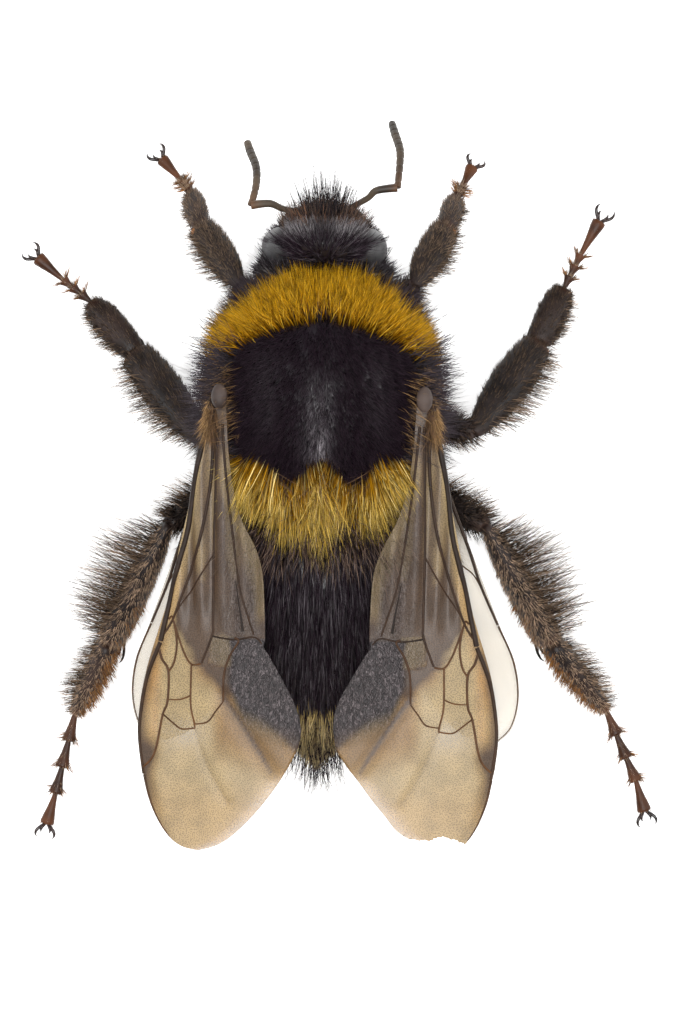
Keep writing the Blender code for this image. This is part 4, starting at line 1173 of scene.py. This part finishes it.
for kind in ("forewing", "hindwing"):
    for side in SIDES:
        outline = f"{kind}_{side}" if f"{kind}_{side}" in LEADING else kind
        leading, trailing = edge_of(LEADING[outline]), edge_of(TRAILING[outline])
        tip_u = LEADING[outline][-1][0]
        lay = wing_place(kind, side)
        t, w = np.meshgrid(np.sin(np.linspace(0, math.pi / 2, WING_ROWS)), np.linspace(0, 1, WING_COLUMNS),
                           indexing="ij")
        u = t * (tip_u - TIP_GAP)
        v = leading(u) * (1 - w) + trailing(u) * w
        if outline == "forewing_right":
            limit = np.interp(v, *np.array(WORN).T) + 0.02 * np.sin(v * 23) + 0.015 * np.sin(v * 51 + 1)
            u = u * (1 - (1 - np.minimum(limit, tip_u) / tip_u) * t**6)
            v = leading(u) * (1 - w) + trailing(u) * w
        u, v = u.ravel(), v.ravel()
        points = lay(u, v, wing_height(kind, u, v))
        corner = (np.arange(WING_ROWS - 1)[:, None] * WING_COLUMNS + np.arange(WING_COLUMNS - 1)).ravel()
        squares = np.stack((corner, corner + 1, corner + WING_COLUMNS + 1, corner + WING_COLUMNS), -1)
        halo = np.clip(sum(near_line(u, v, vein[-1], HALO) for vein in VEINS[kind]), 0, 1)
        if kind == "forewing":
            smoke, silver, amber, pale = forewing_marks(u, v, leading(u) - v, v - trailing(u), halo)
        else:
            smoke = 0.2 * halo + 0.9 * soft_step(-u, -6, -3)
            silver, amber, pale = np.zeros((3, len(u)))
        blade = add_piece(
            f"{kind}_{side}_membrane", points, (squares,), "wing", np.column_stack((u, v + 4)) / 20,
            smoke=np.clip(smoke, 0, 1), silver=np.clip(silver, 0, 1), amber=np.clip(amber, 0, 1), pale=pale,
        )
        solid = blade.modifiers.new("thickness", "SOLIDIFY")
        solid.thickness, solid.offset = MEMBRANE * MM, 0.0
        blade.data.materials.append(fore_membrane if kind == "forewing" else hind_membrane)
        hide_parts(f"{kind}_{side}")
        shapes, ambers = [], []
        for start, end, from_amber, to_amber, line in VEINS[kind]:
            line = smooth_line(line, 6)
            if line[0, 0] > EDGE_VEIN_FROM:
                line[:, 1] = leading(line[:, 0]) - 0.03
            half = np.linspace(start, end, len(line))
            path = lay(line[:, 0], line[:, 1], wing_height(kind, line[:, 0], line[:, 1]) + 0.01)
            rows = 4 * len(line)
            tube = carried(stations(path, half, 0.8), lay(0, 1, 0) - lay(0, 0, 0), 2)
            shapes.append(skin_of(tube, rows, 8))
            ambers += [np.repeat(np.linspace(from_amber, to_amber, rows), 8), (from_amber, to_amber)]
        points, faces = joined(shapes)
        veins = add_piece(f"{kind}_{side}_veins", points, faces, "wing", amber=np.concatenate(ambers))
        veins.data.materials.append(vein_finish)

# The tegula is a small smooth cap over the root of each front wing. Small plates tie the wings to the
# thorax beneath it, and the wing's own root behind it is a brown knob under a pelt of rusty hair.
TEGULA_AT, TEGULA_HALF = (0.05, 0.14, -0.04), (0.3, 0.47, 0.24)
ROOT_PLATES = (((3.35, -2.75, 7.1), (0.5, 0.42, 0.2)), ((3.3, -2.0, 6.75), (0.5, 0.5, 0.24)))
KNOB_AT, KNOB_HALF = np.array((4.08, -2.55, 7.3)), (0.20, 0.66, 0.17)
tegula_shell = cuticle("tegula_shell", (0.026, 0.016, 0.013), (0.085, 0.060, 0.050), pit_mm=0.2,
                       depth_mm=0.01, roughness=(0.45, 0.65), gloss=0.3)
root_shell = cuticle("wing_root_shell", (0.012, 0.007, 0.005), (0.045, 0.024, 0.015), pit_mm=0.2,
                     depth_mm=0.01, roughness=(0.5, 0.7), gloss=0.15)
for side, sign in SIDES.items():
    middle = node_middle(f"tegula_{side}")[0] + np.array(TEGULA_AT) * (-sign, 1, 1)
    points, faces = skin_of(blob_surface(middle, TEGULA_HALF), 30, 36)
    cap = add_piece(f"tegula_{side}_cap", points, faces, "brown_cuticle")
    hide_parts(f"tegula_{side}")
    cap.data.materials.append(tegula_shell)
    shapes = [skin_of(blob_surface(np.array(at) * (sign, 1, 1), half), 24, 28) for at, half in ROOT_PLATES]
    knob = blob_surface(KNOB_AT * (sign, 1, 1), KNOB_HALF)
    shapes.append(skin_of(knob, 30, 28))
    points, faces = joined(shapes)
    plates = add_piece(f"wing_root_{side}", points, faces, "brown_cuticle")
    plates.data.materials.append(root_shell)
    above = scatter(knob, 900, lambda point, out, s, a: out[:, 2] > -0.2)
    x, y = above[2][:, 0] * sign, above[2][:, 1]
    lean = pointing(0.25 * sign, 1.0, 0, 2.0)
    long = np.interp(y, (-3.1, -2.0), (0.35, 0.8)) * rng.uniform(0.6, 1.1, len(x))
    grow_fur(f"wing_root_{side}_fur", FUR_GOLD, rust_fur, above, lean, long, width=0.022, curl=0.1,
             locks=(0.3, 1.0), jitter=0.26, rings=2,
             glint=np.clip((x - 4.0) * 3, 0, 1) * rng.random(len(x)))


def beside_wing(point, out):
    """1 at the roots of the front wings, falling away within a millimetre."""
    x, y, z = point.T
    return bell(np.abs(x), 3.45, 0.3) * bell(y, -2.6, 1.0) * (z > 5.6) * (z < 7.9)


roots = thorax_roots(1100, beside_wing)
x = roots[2][:, 0]
lean = pointing(0.8 * np.sign(x), 0.6, 0.8, 1.3)
long = rng.uniform(0.6, 1.25, len(x))
grow_fur("tegula_fur", FUR_BLACK, rust_fur, roots, lean, long, width=0.024, curl=0.1, locks=(0.4, 1.0),
         jitter=0.22, rings=2, glint=0.5 * rng.random(len(x)) ** 2)

# ---- Legs ----
# Each leg is a chain of stiff tubes: coxa, femur, tibia, a broad first foot joint, three small bell-shaped
# ones and a slim last one with two forked claws. Black at the hip, they turn rust red at the foot.
PAIRS = {
    # for femur, tibia and first foot joint: half-breadths; hairs in the coat, their length and their mix
    # towards the fur's second colour, a painted sheen and a paler brown tint; hairs in the fringe, their
    # length and sweep along the joint. Last, how stout the small foot joints are.
    "front": (
        ((0.28, 0.46, 0.46, 0.32), (1700, 0.5, 0.0), (360, 1.0, 0.6)),
        ((0.28, 0.54, 0.58, 0.46), (2600, 0.3, 0.25), (330, 0.8, 0.9)),
        ((0.34, 0.42, 0.40, 0.24), (1500, 0.24, 0.40), (170, 0.45, 0.8)),
        1.1,
    ),
    "middle": (
        ((0.3, 0.5, 0.52, 0.32), (1700, 0.6, 0.0), (360, 1.3, 0.6)),
        ((0.34, 0.64, 0.74, 0.60), (3400, 0.3, 0.05), (520, 1.25, 0.6)),
        ((0.46, 0.56, 0.54, 0.32), (2300, 0.24, 0.02), (320, 0.6, 0.8)),
        1.2,
    ),
    "hind": (
        ((0.32, 0.54, 0.56, 0.36), (1700, 0.75, 0.0), (360, 1.4, 0.6)),
        ((0.34, 0.68, 0.80, 0.76), (4200, 0.3, 0.9), (900, 2.3, 0.2)),
        ((0.62, 0.64, 0.56, 0.32), (2600, 0.24, 1.0), (420, 1.0, 0.8)),
        1.45,
    ),
}
FEMUR_FLAT, SHIN_FLAT, TOE_FLAT = 0.88, 0.66, 0.75
SPURS = {"front": (), "middle": ((0.3, 0.5),), "hind": ((0.5, 0.8), (0.3, 0.6))}
HIGH_ABOVE = (0, 0, 40.0)
# where in the reach from the first foot joint to the claws the last joint starts and ends
LAST_JOINT = {
    "front_left": (0.26, 0.77), "front_right": (0.27, 0.78), "middle_left": (0.41, 0.83),
    "middle_right": (0.42, 0.83), "hind_left": (0.63, 0.88), "hind_right": (0.61, 0.87),
}
leg_shell, nodes, links, shader = new_finish("leg_shell", Specular_IOR_Level=0.2)
clouds = add_pits(nodes, links, shader, pit_mm=0.1, depth_mm=0.008, roughness=(0.32, 0.5))
black = ramp(nodes, links, clouds, (0.3, (0.008, 0.006, 0.006)), (0.7, (0.028, 0.020, 0.018)))
rusty = ramp(nodes, links, clouds, (0.3, (0.030, 0.010, 0.004)), (0.7, (0.105, 0.036, 0.013)))
shade = mix_colour(nodes, links, mark(nodes, "rust"), black, rusty)
joint = node(nodes, "ShaderNodeMapRange")
socket_value(joint, From_Min=1.2, From_Max=2.0)
links.new(mark(nodes, "rust"), joint.inputs["Value"])
shade = mix_colour(nodes, links, joint.outputs["Result"], shade, (0.38, 0.16, 0.06))
links.new(shade, shader.inputs["Base Color"])
claw_shell = cuticle("claw_shell", (0.006, 0.004, 0.004), (0.025, 0.010, 0.007), pit_mm=0.2,
                     depth_mm=0.002, roughness=(0.15, 0.3))
leg_fur = fur_finish("leg_fur", (0.003, 0.002, 0.002), (0.013, 0.008, 0.006), (0.060, 0.037, 0.024),
                     shades=(0.35, 1.9), glint=(0.34, 0.23, 0.15), roughness=0.5, gloss=0.15)
brush_fur = fur_finish("leg_brush_fur", (0.03, 0.010, 0.002), (0.16, 0.058, 0.012), (0.32, 0.15, 0.045),
                       shades=(0.5, 1.5), glint=(0.40, 0.20, 0.07), roughness=0.45)


def lengthened(start, end, *shares):
    return [start + (end - start) * share for share in shares]


def gathered(coats):
    """Several coats' roots as one, their shares laid end to end so that no two unwraps overlap."""
    roots, *columns = zip(*coats)
    shares = [(number + each[0]) / len(coats) for number, each in enumerate(roots)]
    rest = [np.concatenate(column) for column in list(zip(*roots))[1:]]
    return (np.concatenate(shares), *rest), *(np.concatenate(column) for column in columns)


for pair, (of_femur, of_tibia, of_base, stout) in PAIRS.items():
    for side, sign in SIDES.items():
        leg = f"leg_{pair}_{side}"
        coxa_low, coxa_high = box_mm(f"{leg}_coxa")
        hip = ring_end(f"{leg}_coxa", (coxa_low + coxa_high) / 2 * (1, 1, 0) + HIGH_ABOVE)
        knee = ring_end(f"{leg}_femur", hip)
        ankle = ring_end(f"{leg}_tibia", knee)
        instep = ring_end(f"{leg}_basitarsus", ankle)
        last, tip, claws = spine(f"{leg}_tarsus", instep, (*LAST_JOINT[f"{pair}_{side}"], 0.99), 0.03)
        shells, rusts, coats, fringes, brushes = [], [], [], [], []

        def add_shell(shape, rows, around, rust):
            shells.append(skin_of(shape, rows, around))
            share = (1 - np.cos(np.linspace(0, math.pi, rows))) / 2
            rusts.extend((np.repeat(np.interp(share, *zip(*rust)), around), (rust[0][1], rust[-1][1])))
            return shape

        def add_hair(shape, count, along, long, shares, lift, glint=0.0):
            """A short coat that lies along a joint."""
            roots = scatter(shape, count, lambda point, out, s, a: 1.0 + 0 * s, shares)
            lean = unit(along) * lift + np.zeros((len(roots[0]), 3))
            # Some strands at random are mixed further towards the painted sheen and tint.
            sheen_and_tint_share = glint + 0.25 * rng.random(len(lean)) ** 2
            coats.append((roots, lean, long + np.zeros(len(lean)), sheen_and_tint_share))

        def add_fringe(shape, count, along, outer, long, swept, shares=(0.03, 0.98), kept=fringes):
            """Longer hairs in a brush on one edge of a joint, the longest halfway along."""
            roots = scatter(shape, count, lambda point, out, s, a: np.clip(out @ outer - 0.2, 0, 1), shares)
            lean = (unit(along) * swept + outer) * 1.2 + np.zeros((len(roots[0]), 3))
            middle = np.interp(roots[0], (0, 0.3, 0.75, 1), (0.55, 1, 0.9, 0.6))
            length = long * middle * rng.uniform(0.35, 1.2, len(lean))
            kept.append((roots, lean, length, rng.random(len(lean)) ** 2))

        def add_joint(shape, rows, around, rust, along, coat, fringe, shares, lift):
            """A stout joint, its coat, and its fringe on the edge that looks backwards or outwards."""
            add_shell(shape, rows, around, rust)
            add_hair(shape, coat[0], along, coat[1], shares, lift, coat[2])
            add_fringe(shape, fringe[0], along, level, *fringe[1:])

        level = np.array((-(knee - ankle)[1], (knee - ankle)[0], 0))
        level = unit(level * np.sign(level @ np.array((0, 1, 0) if pair != "hind" else (sign, 0, 0))))
        broad = np.array((0, 0, 1.0)) if pair == "hind" else level
        root = (coxa_low + coxa_high) / 2 + (0, 0, 0.7)
        path = [root, *lengthened(root, hip, 0.5, 0.85, 1.0)]
        coxa = carried(stations(path, (0.5, 0.55, 0.42, 0.2)), (1, 0, 0))
        add_shell(coxa, 24, 20, ((0, 0.0), (1, 0.1)))
        add_hair(coxa, 500, hip - root, 0.6, (0.1, 0.9), 0.7)
        add_fringe(coxa, 120, hip - root, level, 1.1, 0.4, (0.1, 0.9))
        halves, coat, fringe = of_femur
        path = lengthened(hip, knee, 0, 0.06, 0.35, 0.7, 0.97, 1.0)
        path = [at + np.array((0, 0, 0.12)) * lift for at, lift in zip(path, (0, 0.2, 1, 1, 0.1, 0))]
        shape = carried(stations(path, (0.12, *halves, 0.14), FEMUR_FLAT), level)
        add_joint(shape, 44, 24, ((0, 0.25), (0.15, 0.05), (0.9, 0.0), (1, 0.15)), knee - hip, coat, fringe,
                  (0.03, 0.995), 0.8)
        halves, coat, fringe = of_tibia
        path = lengthened(knee, ankle, -0.01, 0.04, 0.3, 0.62, 0.95, 1.0)
        tibia = carried(stations(path, (0.12, *halves, halves[3] * 0.55), SHIN_FLAT), broad)
        add_joint(tibia, 50, 28, ((0, 0.1), (0.08, 0.0), (0.92, 0.0), (1, 0.7)), ankle - knee, coat, fringe,
                  (0.01, 0.98), 1.3)
        knob_out = level * halves[3] * 0.62
        halves, coat, fringe = of_base
        path = lengthened(ankle, instep, -0.01, 0.07, 0.35, 0.7, 0.96, 1.0)
        base = carried(stations(path, (0.2, *halves, 0.14), SHIN_FLAT), broad)
        add_joint(base, 40, 24, ((0, 0.4), (0.1, 0.08), (0.85, 0.12), (1, 1.0)), instep - ankle, coat,
                  fringe, (0.02, 0.98), 1.4)
        if pair == "hind":
            add_fringe(base, 700, instep - ankle, -level, 0.5, 1.0, kept=brushes)
            add_fringe(tibia, 160, ankle - knee, -level, 0.45, 1.2, (0.6, 0.98), brushes)
        else:
            knuckle = ankle + knob_out - unit(ankle - knee) * 0.12 + (0, 0, 0.1)
            add_shell(blob_surface(knuckle, (0.17, 0.17, 0.16)), 14, 16, ((0, 2.0), (1, 2.0)))
        for number in range(3):
            start, end = lengthened(instep, last, number / 3 - 0.01, (number + 1) / 3 + 0.02)
            path = lengthened(start, end, 0, 0.15, 0.5, 0.8, 0.95, 1.0)
            halves = np.array((0.05, 0.075, 0.11, 0.16, 0.17, 0.06)) * stout
            small = add_shell(carried(stations(path, halves, TOE_FLAT), level), 22, 16, ((0, 0.5), (1, 0.9)))
            add_hair(small, 110, end - start, 0.24, (0.3, 0.93), 1.6, 0.6)
            for edge in (level, -level):
                add_fringe(small, 12, end - start, edge, 0.6, 1.2, (0.7, 0.93), brushes)
        path = lengthened(last, tip, -0.04, 0.1, 0.45, 0.8, 0.95, 1.0)
        halves = np.array((0.06, 0.08, 0.13, 0.20, 0.21, 0.09)) * min(stout, 1.2)
        slim = add_shell(carried(stations(path, halves, TOE_FLAT), level), 26, 16, ((0, 0.9), (1, 1.0)))
        add_hair(slim, 90, tip - last, 0.16, (0.3, 0.95), 1.8, 0.6)
        points, faces = joined(shells)
        points[:, 2] = np.maximum(points[:, 2], 0.0)
        shell = add_piece(f"{leg}_shell", points, faces, "black_cuticle", rust=np.concatenate(rusts))
        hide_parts(*(f"{leg}_{part}" for part in ("coxa", "femur", "tibia", "basitarsus", "tarsus")))
        shell.data.materials.append(leg_shell)

        # Each claw has a long outer tooth and a short inner one, both hooked down to the floor. One stiff
        # spur stands at the end of the middle tibia and two at that of the hind one.
        ahead = unit((claws - tip) * (1, 1, 0))
        aside = np.array((-ahead[1], ahead[0], 0))
        long = np.linalg.norm((claws - tip)[:2])
        shapes = []

        def hook(path, halves):
            shapes.append(skin_of(carried(stations(path, halves), (0, 0, 1)), 22, 8))

        for hand in (-1, 1):
            for spread, reach, drop, thick in ((0.31, 0.98, 0.02 - tip[2], 0.062), (0.15, 0.62, -0.1, 0.05)):
                middle = tip + ahead * long * reach * 0.42 + aside * hand * spread * 1.0 + (0, 0, 0.1)
                bent = tip + ahead * long * reach * 0.78 + aside * hand * spread * 1.12 + (0, 0, 0.02)
                point = tip + ahead * long * reach + aside * hand * spread * 0.85 + (0, 0, drop)
                start = tip - ahead * 0.08 + (0, 0, 0.02)
                hook((start, middle, bent, point), np.array((0.9, 1, 0.65, 0.12)) * thick)
        for offset, run in SPURS[pair]:
            start = ankle + unit(knee - ankle) * 0.12 - level * offset - (0, 0, 0.1)
            bow = unit(instep - ankle) * run
            curve = ((0, 0), (0.4, 0.14), (0.75, 0.2), (1, 0.16))
            hook([start + bow * far - level * bent for far, bent in curve], (0.05, 0.055, 0.04, 0.012))
        points, faces = joined(shapes)
        points[:, 2] = np.maximum(points[:, 2], 0.0)
        claw_piece = add_piece(f"{leg}_claws", points, faces, "brown_cuticle")
        claw_piece.data.materials.append(claw_shell)
        for label, pile, finish, width, rings in (
            ("fur", coats, leg_fur, 0.032, 1),
            ("fringe", fringes, leg_fur, 0.020, 2),
            ("brush", brushes, brush_fur, 0.028, 2),
        ):
            roots, lean, long, sheen_and_tint_share = gathered(pile)
            grow_fur(f"{leg}_{label}", FUR_BLACK, finish, roots, lean, long, width=width, curl=0.1,
                     locks=(0.3, 0.6), jitter=0.2, rings=rings, glint=sheen_and_tint_share)

# ---- Camera, light and floor ----
# A pale table under a wide soft light, seen from straight above the back.
VIEW_CENTRE, VIEW_HEIGHT, VIEW_TURN, VIEW_SPAN = (-0.90, 0.98), 500.0, math.radians(0.92), 37.93
SENSOR = 36.0
camera = bpy.data.objects.new("camera", bpy.data.cameras.new("camera"))
camera.data.sensor_width = SENSOR
camera.data.lens = SENSOR * (VIEW_HEIGHT - 5.0) / VIEW_SPAN
camera.data.clip_start, camera.data.clip_end = 0.01, 10.0
camera.location = (np.array((*VIEW_CENTRE, VIEW_HEIGHT)) + bee_origin) * MM
camera.rotation_euler = (0, 0, math.pi + VIEW_TURN)
bpy.context.scene.collection.objects.link(camera)
bpy.context.scene.camera = camera


def paper_finish():
    made, nodes, links, shader = new_finish("pale_paper", Roughness=0.9, Specular_IOR_Level=0.2)
    texture = node(nodes, "ShaderNodeTexNoise", Scale=60.0, Detail=2.0)
    links.new(ramp(nodes, links, texture.outputs["Fac"], (0.3, (0.93,) * 3), (0.7, (0.95,) * 3)),
              shader.inputs["Base Color"])
    socket_value(shader, Emission_Color=(1, 1, 1, 1), Emission_Strength=0.6)
    return made


FLOOR_REACH = 1.5
floor_mesh = bpy.data.meshes.new("floor")
floor_corners = [(x * FLOOR_REACH, y * FLOOR_REACH, 0) for x, y in ((-1, -1), (1, -1), (1, 1), (-1, 1))]
floor_mesh.from_pydata(floor_corners, [], [(0, 1, 2, 3)])
floor = bpy.data.objects.new("floor", floor_mesh)
floor.data.materials.append(paper_finish())
bpy.context.scene.collection.objects.link(floor)


def soft_light(name, place, size, power):
    """A square softbox, its place in metres, aimed at the floor under the bee's middle."""
    light = bpy.data.objects.new(name, bpy.data.lights.new(name, "AREA"))
    light.data.shape, light.data.size, light.data.energy = "SQUARE", size, power
    light.location = place
    aim = -light.location
    light.rotation_euler = aim.to_track_quat("-Z", "Y").to_euler()
    bpy.context.scene.collection.objects.link(light)


soft_light("overhead", (0.0, 0.06, 0.75), 0.5, 5.6)
soft_light("side_left", (0.5, -0.1, 0.35), 0.35, 1.4)
soft_light("side_right", (-0.5, -0.1, 0.35), 0.35, 1.4)
world = bpy.data.worlds.new("studio")
world.use_nodes = True
world.node_tree.nodes["Background"].inputs["Color"].default_value = (1, 1, 1, 1)
world.node_tree.nodes["Background"].inputs["Strength"].default_value = 0.4
bpy.context.scene.world = world
bpy.context.scene.view_settings.view_transform = "Standard"

bpy.context.view_layer.update()
